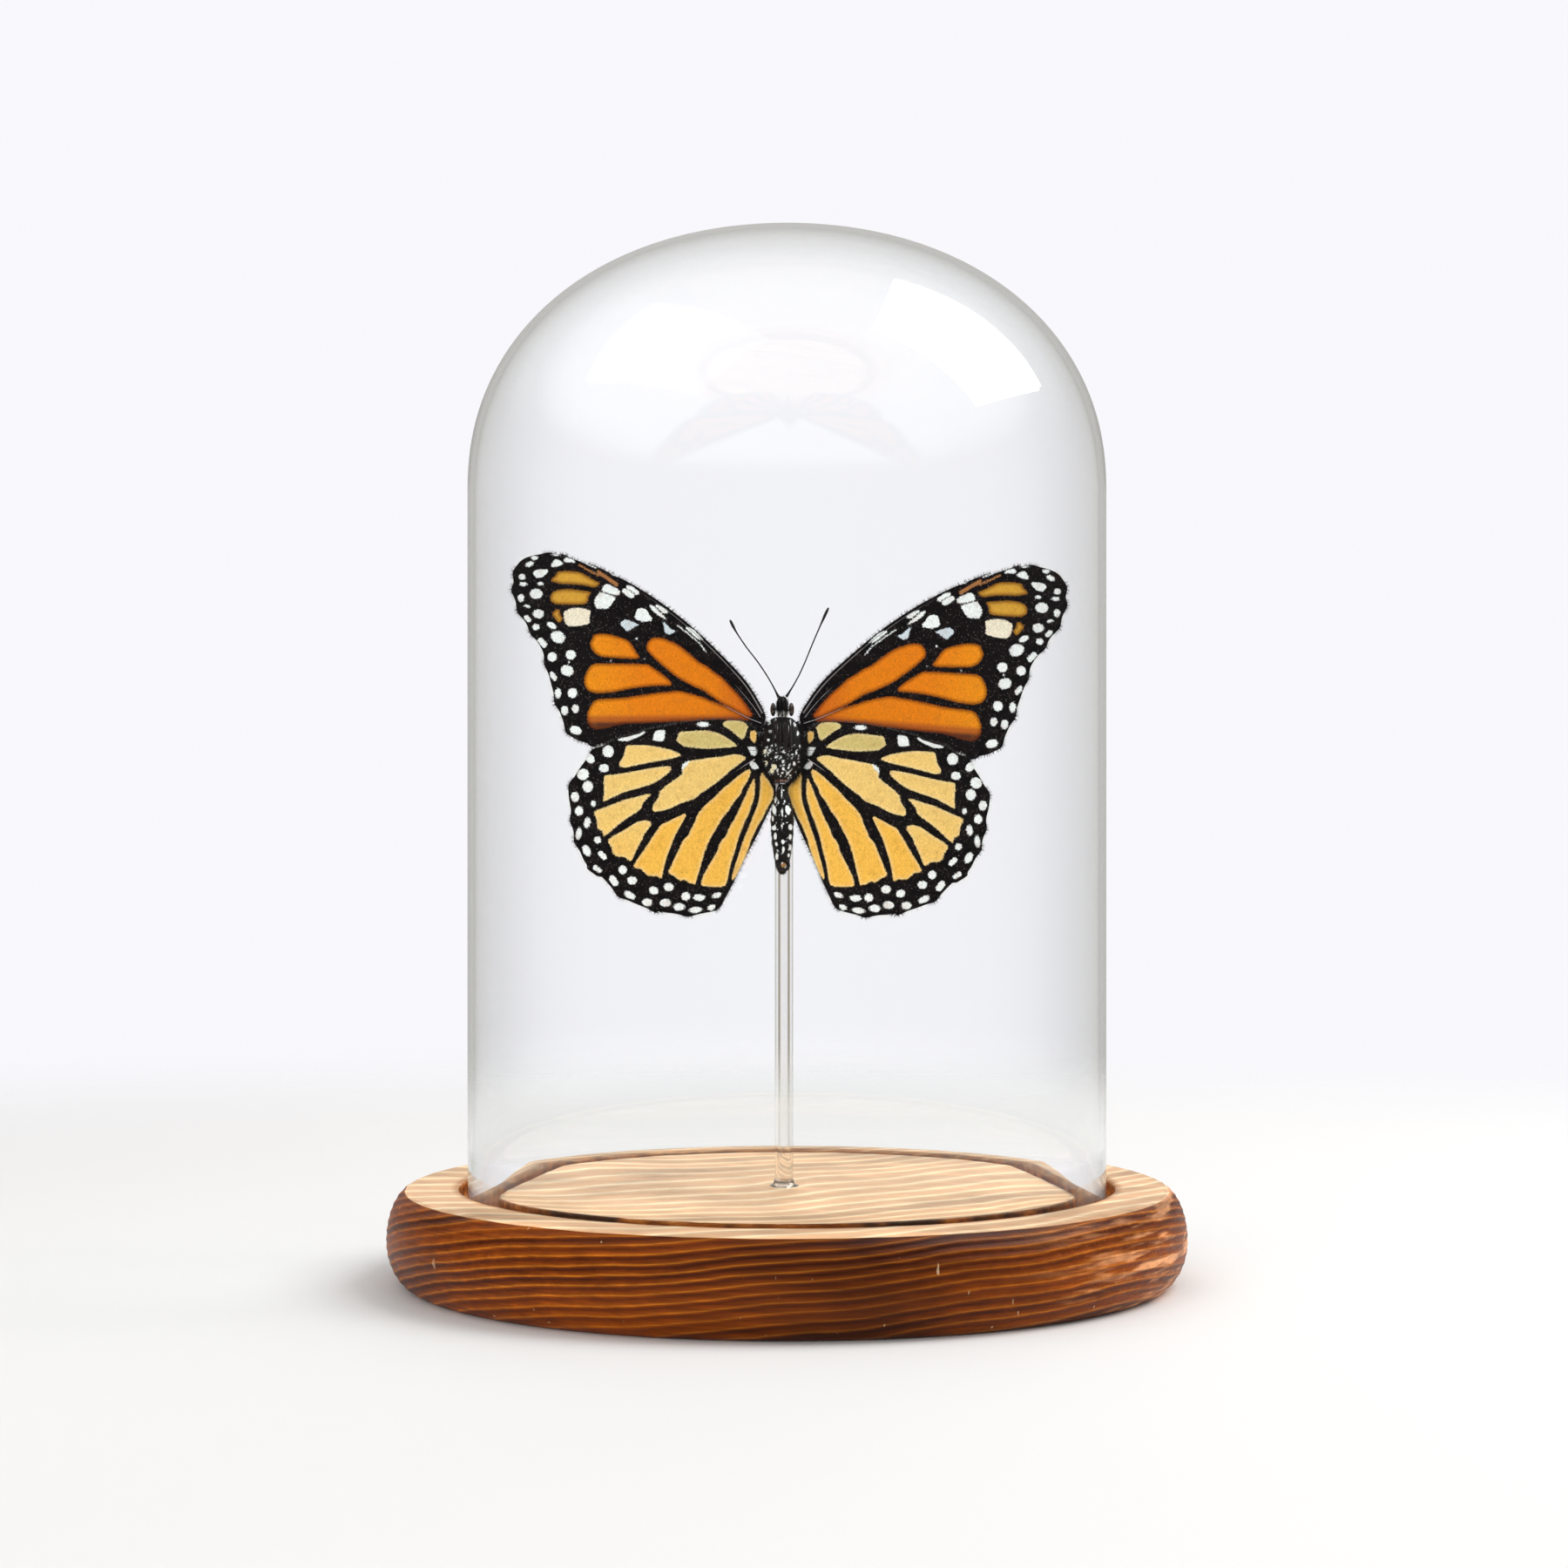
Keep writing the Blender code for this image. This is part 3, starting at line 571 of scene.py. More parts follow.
# (colour of the underside, colour of the upper side, outline)
FOREWING_CELLS = [
    (ORANGE, UPPER_ORANGE, [(33, 19.6), (32.6, 20.4), (32.3, 21.05), (31.2, 21.3), (29.95, 21.2),
     (28.3, 20.8), (26.8, 20.3), (26, 19.7), (25.4, 18.8), (24.8, 17.8), (24.4, 17.15), (25.3, 16.9),
     (27.4, 17), (29.7, 17.15), (31.2, 17.35), (32.1, 17.9), (32.6, 18.55)]),
    (ORANGE, UPPER_ORANGE, [(34, 12.85), (33.85, 14.1), (33.1, 15.5), (32.1, 16.15), (29.7, 16.15),
     (27.2, 16.15), (24, 16.1), (22.75, 15.9), (21.5, 15), (20.2, 14.1), (19.1, 13.1), (19, 12.35),
     (20.2, 12.3), (22.75, 12.2), (24.65, 12), (27.2, 11.6), (29.1, 11.2), (31.2, 11.05), (32.6, 11.2),
     (33.6, 11.85)]),
    (ORANGE, UPPER_ORANGE, [(33.5, 7.3), (33.2, 8.2), (32.7, 9.2), (31.85, 9.95), (29.7, 10.15),
     (27.2, 10.3), (25.3, 10.6), (23.4, 10.85), (21.5, 11.15), (19.6, 11.3), (18, 11.5), (16, 11.1),
     (14, 10.5), (12, 9.7), (10, 8.9), (8, 8), (6.2, 6.9), (5.4, 6.4), (8, 6.3), (14, 6.3), (20, 6.1),
     (24, 5.9), (27, 5.8), (29, 5.4), (30.5, 5), (32, 4.95), (33, 5.4), (33.4, 6.2)]),
    (ORANGE, UPPER_ORANGE, [(23.3, 19.15), (22.95, 19.9), (22.3, 20.5), (21.15, 20.6), (19.9, 20.3),
     (18.65, 19.8), (17.4, 19.1), (16.4, 18.3), (15.35, 17.4), (14.35, 16.5), (12.95, 15.75), (11.7, 14.75),
     (10.4, 13.85), (9.55, 12.95), (8.5, 11.85), (7.4, 10.7), (6.4, 9.45), (5.65, 8.3), (5, 7.3),
     (5.65, 6.9), (6.8, 7.3), (8.5, 8.3), (10.4, 9.3), (12.1, 10.45), (13.6, 11.45), (15.5, 12.35),
     (17.4, 13.35), (18.65, 14.2), (19.9, 15.25), (21.4, 16.5), (22.55, 17.65), (23.2, 18.4)]),
    (OCHRE, UPPER_BROWN, [(39.6, 30.2), (39.5, 30.8), (38.85, 31.3), (38.5, 31.9), (37.3, 32.05),
     (35.7, 31.95), (34.4, 31.7), (33.2, 31), (32.15, 30.4), (31.3, 29.95), (31.65, 29.4), (32.4, 29.2),
     (33.8, 29.5), (35.6, 29.7), (37.85, 29.8), (39, 30.05)]),
    (OCHRE, UPPER_BROWN, [(39.85, 27.4), (39.6, 28.15), (39, 28.65), (37.35, 28.95), (35.6, 28.85),
     (34.05, 28.6), (32.8, 28.4), (33.2, 27.65), (33.4, 26.6), (34.4, 26.25), (36.3, 26.25), (38.6, 26.3),
     (39.6, 26.75)]),
    (OCHRE, UPPER_BROWN, [(39.5, 24.6), (39, 25.3), (38.2, 25.4), (38.1, 24.6), (37.7, 23.75),
     (38.35, 23.1), (39.1, 24)]),
    (WHITE, ORANGE, [(39.7, 32.8), (39.5, 33.3), (38.8, 34.05), (37.5, 33.3), (38.8, 32.75)]),
    (WHITE, ORANGE, [(37.5, 33.8), (36.95, 34.35), (35.5, 33.7), (35.7, 33.45), (36.95, 33.5)]),
    (WHITE, WHITE, [(42.8, 31.8), (42.1, 32.2), (41, 32.3), (40.1, 32.1), (41, 31.05), (42.3, 30.9)]),
    (WHITE, ORANGE, [(30.9, 28.6), (30.5, 29.55), (30, 29.75), (28.75, 29.2), (27.8, 28.5), (28.1, 27.85),
     (29.5, 28.1)]),
    (WHITE, ORANGE, [(32.15, 27.15), (31.4, 28.15), (31.15, 28.35), (29.75, 27.9), (28.55, 27.45),
     (29, 26.75), (29.75, 25.7), (30.8, 25.5), (32, 25.8)]),
    (CREAM, ORANGE, [(37.5, 24.8), (36.95, 25.3), (35.95, 25.65), (34.4, 25.65), (33.15, 25.3),
     (32.9, 24.9), (33.1, 24.1), (33.05, 23.2), (33.7, 22.85), (35.05, 22.6), (36.6, 22.6), (37.3, 23.2)]),
    (WHITE, ORANGE, [(27.5, 28.65), (26.85, 28.95), (26, 28.5), (25.3, 27.9), (25.5, 27.45), (26.1, 27.35),
     (27, 28)]),
    (WHITE, ORANGE, [(26.8, 29.15), (26.5, 29.5), (25.7, 29.3), (24.5, 28.35), (24.95, 27.9),
     (25.85, 28.65)]),
    (WHITE, ORANGE, [(25.2, 23.85), (25.15, 24.6), (24.7, 25.5), (23.5, 25.5), (22.9, 24.7), (22.3, 23.8),
     (22.5, 23.45), (24, 23.3)]),
    (BLUISH, UPPER_BROWN, [(27.75, 23.1), (26.8, 23.65), (25.8, 23.3), (24.65, 22.8), (25.4, 22.4),
     (26.5, 21.7), (27.15, 22.2)]),
    (BLUISH, UPPER_BROWN, [(20.5, 23.3), (19.85, 22.8), (18.95, 21.95), (18.2, 21.6), (19.4, 21.1),
     (20.1, 21.5), (20.15, 22.2)]),
    (WHITE, ORANGE, [(22.75, 26), (22.2, 26.05), (21.15, 25.1), (19.75, 23.65), (20.8, 24.1), (22.05, 25)]),
    (WHITE, ORANGE, [(21.7, 26), (21.05, 26.05), (19.5, 25.05), (19.9, 24.65), (20.5, 24.9)]),
    (WHITE, ORANGE, [(16.6, 22.25), (15.85, 22.3), (14.8, 21.55), (13.6, 20.2), (14.35, 20.3),
     (15.6, 21.3)]),
]
HINDWING_CELLS = [
    (BUFF, UPPER_ORANGE, [(6.2, -0.1), (6.8, 0.35), (8.05, 0.6), (10.2, 0.2), (12.1, 0), (14, -0.3),
     (15.5, -0.5), (16.3, -0.9), (17.1, -2.2), (17.1, -2.8), (18.3, -3.7), (19.8, -4.75), (20.9, -5.75),
     (21.15, -6.75), (22.05, -8.05), (22.1, -9.1), (21, -9.15), (19.05, -8.6), (17.15, -7.7), (15.1, -7.05),
     (14, -6.15), (12.6, -5.25), (11.45, -4.4), (10.2, -3.4), (8.95, -2.3), (7.7, -1.35), (6.65, -0.5)]),
    (WHITE, ORANGE, [(17.1, -2.2), (17.05, -1.2), (16.2, -0.62), (15.6, -0.7), (16.2, -1.5)]),
    (OLIVE_BUFF, UPPER_ORANGE, [(18.05, 2.95), (17.85, 3.6), (17.5, 4.4), (16.3, 4.45), (14.6, 4.6),
     (12.7, 4.6), (11.1, 4.2), (9.95, 3.7), (8.8, 2.95), (7.9, 2.25), (8, 1.85), (9.55, 1.75),
     (11.45, 1.55), (13.35, 1.55), (15.25, 1.7), (16.75, 1.95), (17.5, 2.4)]),
    (OLIVE_BUFF, UPPER_ORANGE, [(10.1, 5.6), (9.8, 6.2), (8.95, 6.35), (7.05, 6.3), (5.8, 5.35),
     (6.05, 4.85), (6.4, 3.6), (6.8, 3.15), (7.3, 3.4), (8.55, 4.45)]),
    (GOLD, UPPER_ORANGE, [(5.4, 4.45), (4.5, 4.6), (4.4, 3.7), (4.65, 2.5), (5.15, 2.8), (5.5, 3.6)]),
    (BUFF, UPPER_ORANGE, [(27.95, -1.2), (27.45, -0.3), (26.95, 0.8), (26.7, 1.95), (25.3, 2.15),
     (23.05, 2.1), (20.9, 1.75), (19, 1.3), (17.3, 0.5), (18.25, 0.05), (20.25, -0.4), (22.8, -0.85),
     (25.3, -1.35), (27.1, -1.7)]),
    (BUFF, UPPER_ORANGE, [(30.4, -3.1), (28.85, -2.9), (26.6, -2.55), (24.05, -2.1), (21.5, -1.65),
     (19.1, -1.5), (19.25, -2.35), (20.25, -3.25), (21.8, -4.25), (23.4, -4.85), (25.3, -5.4),
     (27.2, -5.95), (29.1, -6.8), (30.6, -7.45), (30.5, -6.25), (30.5, -4.6)]),
    (BUFF, UPPER_ORANGE, [(32.25, -9.4), (31.4, -8.85), (29.85, -8.3), (27.85, -7.5), (25.95, -6.95),
     (22.5, -6.15), (23.2, -7), (23.8, -7.8), (24.2, -8.75), (25.3, -9.55), (26.85, -10.55), (28.35, -11.7),
     (29.75, -12.95), (30.6, -13.4), (30.75, -12.6), (31.6, -12.1), (31.75, -10.55)]),
    (BUFF, UPPER_ORANGE, [(29.85, -14.1), (28.1, -12.95), (26.6, -12.1), (24.7, -10.95), (23.2, -10.75),
     (22.4, -11.1), (22.8, -12.1), (23.55, -12.95), (24.05, -14.1), (24.7, -15.35), (25.3, -16.5),
     (25.7, -17.5), (26.2, -17.6), (27, -17), (28, -16.9), (28.9, -16.5), (29.1, -16), (29.25, -15.25)]),
    (GOLD, UPPER_ORANGE, [(16.5, -9.55), (17.75, -10.05), (19.25, -10.8), (20.65, -11.45), (21.4, -12.45),
     (22.3, -13.7), (23.15, -15), (24.05, -16.35), (25.2, -18), (25.3, -18.8), (24.2, -19), (23, -20.2),
     (21.5, -20.2), (20.7, -20.6), (20.3, -19), (19.75, -17), (19, -15), (18.5, -13.7), (17.85, -12.45),
     (17.1, -11.05), (16.6, -10.2)]),
    (GOLD, UPPER_ORANGE, [(5.8, -2), (6.8, -2.6), (7.95, -3.5), (9.05, -4.4), (10.35, -5.5), (11.35, -6.55),
     (12.35, -7.4), (13.35, -8.3), (14.1, -9.2), (14.6, -10), (15, -11.1), (15.75, -12.5), (16, -13.25),
     (16.9, -14.1), (17.75, -15.85), (18.3, -17), (19, -18.5), (19.4, -19.7), (18.5, -20.2), (17.5, -21),
     (16.7, -20.9), (15, -21.7), (14.4, -20), (13.8, -18), (13.2, -16), (12.6, -14.5), (11.95, -13.2),
     (11.1, -11.85), (10.45, -10.6), (9.8, -9.8), (8.95, -8.7), (8.15, -7.4), (7.15, -6.3), (6.8, -5.25),
     (6, -4.15), (5.65, -3.25), (5.4, -2.35)]),
    (GOLD, UPPER_ORANGE, [(4.8, -3.6), (5.4, -4.5), (5.9, -5.65), (6.5, -6.9), (7.05, -8.2), (7.65, -9.45),
     (8.3, -10.7), (9.05, -11.95), (9.55, -13.2), (10.6, -14.5), (11.1, -16), (12.3, -18), (13.4, -20),
     (13.9, -21.7), (13, -22), (11.5, -22.1), (9.7, -21.8), (9.1, -19.5), (8.7, -17.8), (8.1, -16),
     (7.3, -13.2), (6.8, -11.95), (6.3, -10.7), (5.65, -9.45), (5.25, -8.15), (4.8, -6.9), (4.7, -5.65),
     (4.65, -4.4)]),
    (GOLD, UPPER_ORANGE, [(3.5, -2.6), (3.75, -3.5), (3.75, -5), (3.9, -6.3), (4, -7.5), (4.5, -8.8),
     (5, -10.05), (5.5, -11.35), (6, -12.6), (6.65, -14.1), (7.6, -17), (8.1, -18.6), (8.6, -20.3),
     (8.45, -20.9), (7.9, -20.2), (7.2, -18.9), (6.6, -17.5), (6, -16.2), (5.25, -13.9), (4.65, -12.6),
     (4, -11.35), (3.25, -10.1), (2.75, -9.05), (2.1, -7.9), (1.6, -6.9), (1.5, -5.75), (1.85, -4.75),
     (2.5, -3.75), (3.1, -2.85)]),
    (WHITE, ORANGE, [(28.1, 3.05), (27, 3.6), (25.5, 4.1), (23.5, 4.5), (23.6, 4.1), (24.5, 3.6),
     (26, 2.95), (27.3, 2.85)]),
    (WHITE, ORANGE, [(22.1, 3.4), (21.9, 4.1), (21.4, 4.65), (20.1, 4.7), (20.05, 4.2), (20.2, 3.1),
     (20.7, 2.8), (21.9, 2.95)]),
    (WHITE, WHITE, [(5.9, 1.8), (5.15, 1.85), (4.5, 1.7), (4.15, 1.05), (4.4, 0.4), (5.15, 0.35),
     (5.5, 0.9)]),
    (WHITE, WHITE, [(5.65, -1.1), (5.15, -0.6), (4.5, -1), (4, -1.75), (4.9, -2)]),
]

# Round spots as (u, v, width, height, turn in degrees)
FOREWING_SPOTS = [
    (42.55, 34.3, 1.2, .7, 0), (43.4, 33.2, 1.5, .8, -15), (44.7, 31.05, 1.2, 1.0, 0),
    (44.5, 29.8, 1.3, .65, 0), (44.9, 27.4, 1.1, 1.3, 0), (43.8, 26, 1.0, .5, 10),
    (42.3, 22.45, 1.2, 1.1, 0), (39.5, 17.3, 1.6, 1.6, 0), (38.5, 11.05, 1.1, 1.7, 0),
    (37.35, 8.1, 1.2, 1.6, 0), (35.4, 4.7, 2.1, 1.4, 20), (38.8, 34.75, 1.2, .35, 5),
    (41.5, 29.85, 1.05, .6, 0), (42.25, 28.1, 2.2, 1.7, 0), (41.9, 24.7, 1.9, 1.5, 0),
    (39.6, 22.7, 1.7, 1.0, 30), (38.5, 20.7, 2.5, 2.0, 20), (36.3, 17.65, 1.7, 1.6, 0),
    (36.6, 16.4, .35, .35, 0), (36.9, 14.95, 2.2, 1.8, 20), (36, 11.1, 1.6, 1.7, 0),
    (35.5, 8.4, 1.2, 1.4, 0), (25, 20.4, .3, .3, 0), (23.6, 16.9, .3, .3, 0), (29.4, 16.6, .3, .3, 0),
]
HINDWING_SPOTS = [
    (13.5, 5.7, 2.1, .85, 0), (29.8, 1.05, 1.9, 2.0, 0), (32.9, -.15, 1.4, 1.8, -35),
    (30.5, -1.8, 1.7, 1.4, 0), (34.1, -2.85, 2.0, 1.9, -35), (33.3, -4.95, 1.75, 1.9, 0),
    (35.5, -6.7, 1.4, 1.7, 0), (32.35, -7.85, .85, 1.0, 0), (34.8, -9.1, 1.4, 1.6, 0),
    (33.4, -11.1, 1.1, 1.8, 15), (34.85, -13, 1.0, 2.0, 10), (31.6, -14.05, 1.2, 1.2, 0),
    (33.5, -15.9, 1.3, 2.0, -25), (27.3, -19.2, 1.4, 1.5, 0), (25.7, -21, 1.6, 1.4, 0),
    (26.1, -23.5, 2.0, 1.1, 30), (22, -22.7, 1.6, 1.3, 15), (23.1, -24.75, 1.7, 1.3, 10),
    (19.4, -22.1, 1.6, 1.4, 0), (20, -24.8, 1.9, 1.3, 0), (16.5, -23.7, 1.5, 1.4, 0),
    (17.6, -25.5, 1.9, 1.3, 0), (14.2, -23.9, 2.0, 1.1, 0), (14.8, -26, 2.2, 1.0, -5),
    (11.2, -23.5, 1.6, .9, -20), (12.1, -25.6, 1.4, .9, -25), (20.6, -26.55, .9, .3, 10),
    (18.3, -26.85, .9, .3, 5),
]
# Streaks as (start, end, width)
FOREWING_STREAKS = [
    (WHITE, ORANGE, (44.0, 24.1), (43.5, 23.6), .8), (WHITE, WHITE, (41.5, 20.1), (40.9, 19.4), 1.0),
    (WHITE, WHITE, (39.5, 14.3), (39.1, 13.7), .9), (WHITE, UPPER_BROWN, (33.5, 33.2), (31.9, 32.6), .22),
    (WHITE, UPPER_BROWN, (29.6, 31.7), (28.1, 31), .22),
    (WHITE, UPPER_BROWN, (17.9, 22.65), (15.9, 21.05), .2),
    (WHITE, UPPER_BROWN, (15.9, 21.05), (14.1, 19.55), .2),
    (WHITE, UPPER_BROWN, (14.1, 19.55), (13.1, 18.15), .2),
    (TAN, UPPER_BROWN, (34.8, 33), (31.5, 31.2), .3), (TAN, UPPER_BROWN, (31.5, 31.8), (28.4, 29.7), .6),
    (CREAM, UPPER_BROWN, (14.8, 9.1), (12, 8.2), .2),
]
HINDWING_STREAKS = [
    (WHITE, WHITE, (31.1, -16.4), (30.5, -17.0), .9), (WHITE, WHITE, (32.0, -18.8), (31.3, -19.3), .8),
    (WHITE, WHITE, (29.1, -20.7), (28.6, -21.4), 1.1),
]

# Veins, from the root outwards, as (radius at the root in mm, pale share, points)
FOREWING_VEINS = [
    (0.34, 0.25, [(3.4, 7.6), (6.2, 12.2), (10.2, 16.7), (15.1, 21.4), (20.1, 25.5), (25.1, 28.8),
     (30.1, 31.4), (35.1, 33.7), (40, 34.8)]),
    (0.24, 0.35, [(3.7, 6.9), (5.5, 9.5), (8.5, 12.9), (11.7, 15.9), (15.3, 18.7), (18.6, 20.9),
     (21.5, 21.6), (23.7, 21.2)]),
    (0.17, 0.0, [(15.3, 18.7), (19, 22.6), (24, 27), (29, 30.3), (34, 32.7), (37.6, 34.6)]),
    (0.17, 0.0, [(21.5, 21.6), (24.6, 26.2), (28, 29), (31.3, 30.9), (34.6, 32.4), (38.6, 32.5),
     (41.5, 32.7), (46.2, 31.7)]),
    (0.17, 0.0, [(23.7, 21.2), (27.4, 25.2), (31.7, 28.8), (35.6, 29.3), (40, 29.2), (46.3, 28.8)]),
    (0.17, 0.0, [(23.7, 21.2), (27.9, 24.4), (32, 25.2), (36, 25.95), (41.9, 25.8), (45.4, 25.0)]),
    (0.17, 0.0, [(24, 19.9), (27.6, 21.2), (31, 22), (35, 22.1), (39.4, 21.8), (43.2, 21.3)]),
    (0.17, 0.0, [(23.3, 16.9), (27, 16.6), (31, 16.75), (34, 16.6), (37.6, 16.35), (40.9, 16.1)]),
    (0.17, 0.0, [(18.3, 12.4), (22, 11.7), (27, 10.95), (31, 10.55), (34.6, 9.9), (39, 9.4)]),
    (0.24, 0.45, [(3.6, 5.9), (5.6, 6.7), (8.4, 8.1), (12, 10.1), (15.5, 11.9), (18.3, 13.4), (21, 15.4),
     (23.3, 16.9), (24, 18.4), (24, 19.9), (23.7, 21.2)]),
    (0.20, 0.0, [(4.2, 5.6), (8, 5.5), (12, 5), (20, 4.6), (28, 4.2), (33, 4), (37, 4.4)]),
]
HINDWING_VEINS = [
    (0.22, 0.0, [(4.2, 2.6), (6.6, 2.7), (8.7, 3.9), (10.6, 5.2), (15, 5.2), (19.3, 5.0), (24, 4.55),
     (28.4, 3.3)]),
    (0.20, 0.0, [(4.3, 1.2), (7.5, 1.35), (12, .95), (16.4, 1.1), (19.5, 2.3), (23, 2.6), (28, 2.4),
     (32.6, 1.4)]),
    (0.17, 0.0, [(16.4, 1.1), (17.6, -.5), (21, -1.1), (25, -1.75), (28.6, -2.5), (32, -3.5),
     (36.3, -4.6)]),
    (0.17, 0.0, [(17.6, -.5), (18, -2.5), (20.6, -4.2), (22, -5.4), (25, -6.1), (28.5, -7.1), (32, -8.8),
     (36.4, -10.7)]),
    (0.17, 0.0, [(22, -5.4), (23, -7.6), (22.9, -9.6), (24.6, -10.3), (27, -11.7), (30, -13.6),
     (32.6, -13.6), (35.5, -14.5)]),
    (0.17, 0.0, [(22.9, -9.6), (21.9, -10.6), (22.2, -12.2), (23.7, -15), (25.4, -18.1), (26.7, -20.2),
     (28, -23.7)]),
    (0.22, 0.85, [(4.7, -.3), (7, -1.7), (9, -3.1), (11.5, -4.9), (13.4, -6.5), (15.2, -8), (18, -9.1),
     (21.9, -10)]),
    (0.17, 0.0, [(15.2, -8), (16.1, -11), (17.6, -13.9), (19.1, -17), (20.2, -20.3), (20.9, -23.5),
     (21.7, -26.3)]),
    (0.19, 0.0, [(4.7, -2.3), (6.3, -5.4), (8.1, -8.8), (10.5, -12.6), (12.3, -16), (13.9, -20),
     (14.9, -23.5), (16.2, -27)]),
    (0.19, 0.0, [(3.9, -2.6), (4.4, -6), (5.5, -9.7), (7, -13.2), (8.4, -17.3), (9.4, -21.5),
     (10.9, -25.4)]),
]


def smooth_curve(points, per_span, closed=True):
    """Points of a Catmull-Rom curve through the given ones."""
    count = len(points)
    found = []
    for i in range(count if closed else count - 1):
        keys = [(i + k) % count if closed else min(max(i + k, 0), count - 1) for k in (-1, 0, 1, 2)]
        before, start, end, after = (np.array(points[key], float) for key in keys)
        for step in range(per_span):
            t = step / per_span
            found.append(0.5 * (2 * start + (end - before) * t
                                + (2 * before - 5 * start + 4 * end - after) * t ** 2
                                + (3 * start - before - 3 * end + after) * t ** 3))
    if not closed:
        found.append(np.array(points[-1], float))
    return np.array(found)


def to_line(points, line, closed):
    """Distance of each point to a line through many points."""
    nearest = np.full(len(points), 1e9)
    ends = np.roll(line, -1, axis=0) if closed else line[1:]
    for start, end in zip(line, ends):
        along = end - start
        share = np.clip(((points - start) @ along) / (along @ along + 1e-12), 0, 1)
        nearest = np.minimum(nearest, np.hypot(*(points - start - share[:, None] * along).T))
    return nearest


def inside_loop(points, loop):
    crossed = np.zeros(len(points), bool)
    for (u0, v0), (u1, v1) in zip(loop, np.roll(loop, -1, axis=0)):
        spans = (v0 > points[:, 1]) != (v1 > points[:, 1])
        crossed ^= spans & (points[:, 0] < (u1 - u0) * (points[:, 1] - v0) / (v1 - v0 + 1e-12) + u0)
    return crossed


def loop_depth(points, outline):
    """How far each point lies inside an outline; outside it the number is negative."""
    loop = smooth_curve(outline, 2)
    depth = np.full(len(points), -9.0)
    near = ((points > loop.min(axis=0) - 2) & (points < loop.max(axis=0) + 2)).all(axis=1)
    found = to_line(points[near], loop, True)
    depth[near] = np.where(inside_loop(points[near], loop), found, -found)
    return depth


def spot_depth(points, u, v, width, height, turn):
    cosine, sine = math.cos(math.radians(turn)), math.sin(math.radians(turn))
    arm = points - (u, v)
    across = arm[:, 0] * cosine + arm[:, 1] * sine
    up = arm[:, 1] * cosine - arm[:, 0] * sine
    return (1 - np.hypot(across / (width / 2), up / (height / 2))) * min(width, height) / 2


def painted(points, cells, spots, streaks, upper):
    """Depth inside the nearest marking, and that marking's colour, for each point of a wing."""
    best = np.full(len(points), -9.0)
    colour = np.tile(np.array(WHITE), (len(points), 1))
    marks = [(loop_depth(points, outline), (under, over)[upper]) for under, over, outline in cells]
    marks += [(spot_depth(points, *spot), WHITE) for spot in spots]
    for under, over, start, end, width in streaks:
        line = np.array([start, end], float)
        marks.append((width / 2 - to_line(points, line, False), (under, over)[upper]))
    for depth, tint in marks:
        nearer = depth > best
        best[nearer] = depth[nearer]
        colour[nearer] = tint
    return best, colour


def shift_colour(colour, share, towards):
    return colour + (np.array(towards) - colour) * np.clip(share, 0, 1)[:, None]


def forewing_shades(points, colour, upper):
    """Redder near the root and browner along the discal cell's upper half, brighter outwards."""
    u, v = points.T
    orange = (np.abs(colour - (UPPER_ORANGE if upper else ORANGE)).sum(axis=1) < 0.01).astype(float)
    colour = shift_colour(colour, orange * (12 - u) / 9, RED_ORANGE)
    colour = shift_colour(colour, orange * (u - 24) / 12, (0.88, 0.31, 0.012))
    if upper:
        return colour
    colour = shift_colour(colour, orange * 0.5 * np.clip((v - 6.5 - 0.66 * u) / 1.2, 0, 1) * (u < 23.5),
                          (0.50, 0.14, 0.02))
    colour = shift_colour(colour, orange * np.clip((7.6 - v) / 0.8, 0, 1) * 0.75, (0.36, 0.07, 0.018))
    return shift_colour(colour, orange * np.clip((6.4 - v) / 0.6, 0, 1), (0.09, 0.03, 0.015))


def hindwing_shades(points, colour, upper):
    """Deeper gold towards the lower margin of the underside."""
    if upper:
        return colour
    u, v = points.T
    buff = (colour[:, 2] < 0.3) & (colour[:, 0] > 0.6)
    return shift_colour(colour, buff * np.clip((-v - 8) / 18, 0, 0.4), (0.98, 0.54, 0.09))


def wing_place(points, turn, size):
    """A wing's (u, v) as it is set on the body."""
    arm = (points - WING_HINGE) * size
    cosine, sine = math.cos(turn), math.sin(turn)
    turned = [arm[:, 0] * cosine - arm[:, 1] * sine, arm[:, 0] * sine + arm[:, 1] * cosine]
    return np.stack(turned, 1) + WING_HINGE


def wing_world(points, wing, y, side, lift=0.0):
    """Places points of a wing's drawing; lift in mm moves them back off the middle of the membrane."""
    u, v = wing_place(points, *WING_SETS[wing]).T
    curl = 0.10 * np.sin(points[:, 0] / 6 + points[:, 1] / 9)
    curl += 0.07 * np.sin(points[:, 1] / 4 - points[:, 0] / 11)
    depth = y + (DIHEDRAL * u + curl + lift) * MM
    return np.stack([BODY_X + side * u * MM, depth, BODY_Z + v * MM], 1)


def margin_loop(edge, veins):
    """The wing's edge, drawn in a little between the ends of the veins."""
    loop = smooth_curve(edge, 6)
    tips = np.array([route[-1] for _, _, route in veins])
    to_tip = np.min(np.hypot(*(loop[:, None] - tips[None]).transpose(2, 0, 1)), axis=1)
    tangent = np.roll(loop, -1, axis=0) - np.roll(loop, 1, axis=0)
    inwards = np.stack([tangent[:, 1], -tangent[:, 0]], 1) / np.hypot(*tangent.T)[:, None]
    outer = np.clip((loop[:, 0] - 8) / 6, 0, 1) * (to_tip < 4.5)
    scallop = SCALLOP * outer * (1 - np.exp(-(to_tip / 1.1) ** 2))
    return loop + inwards * scallop[:, None]


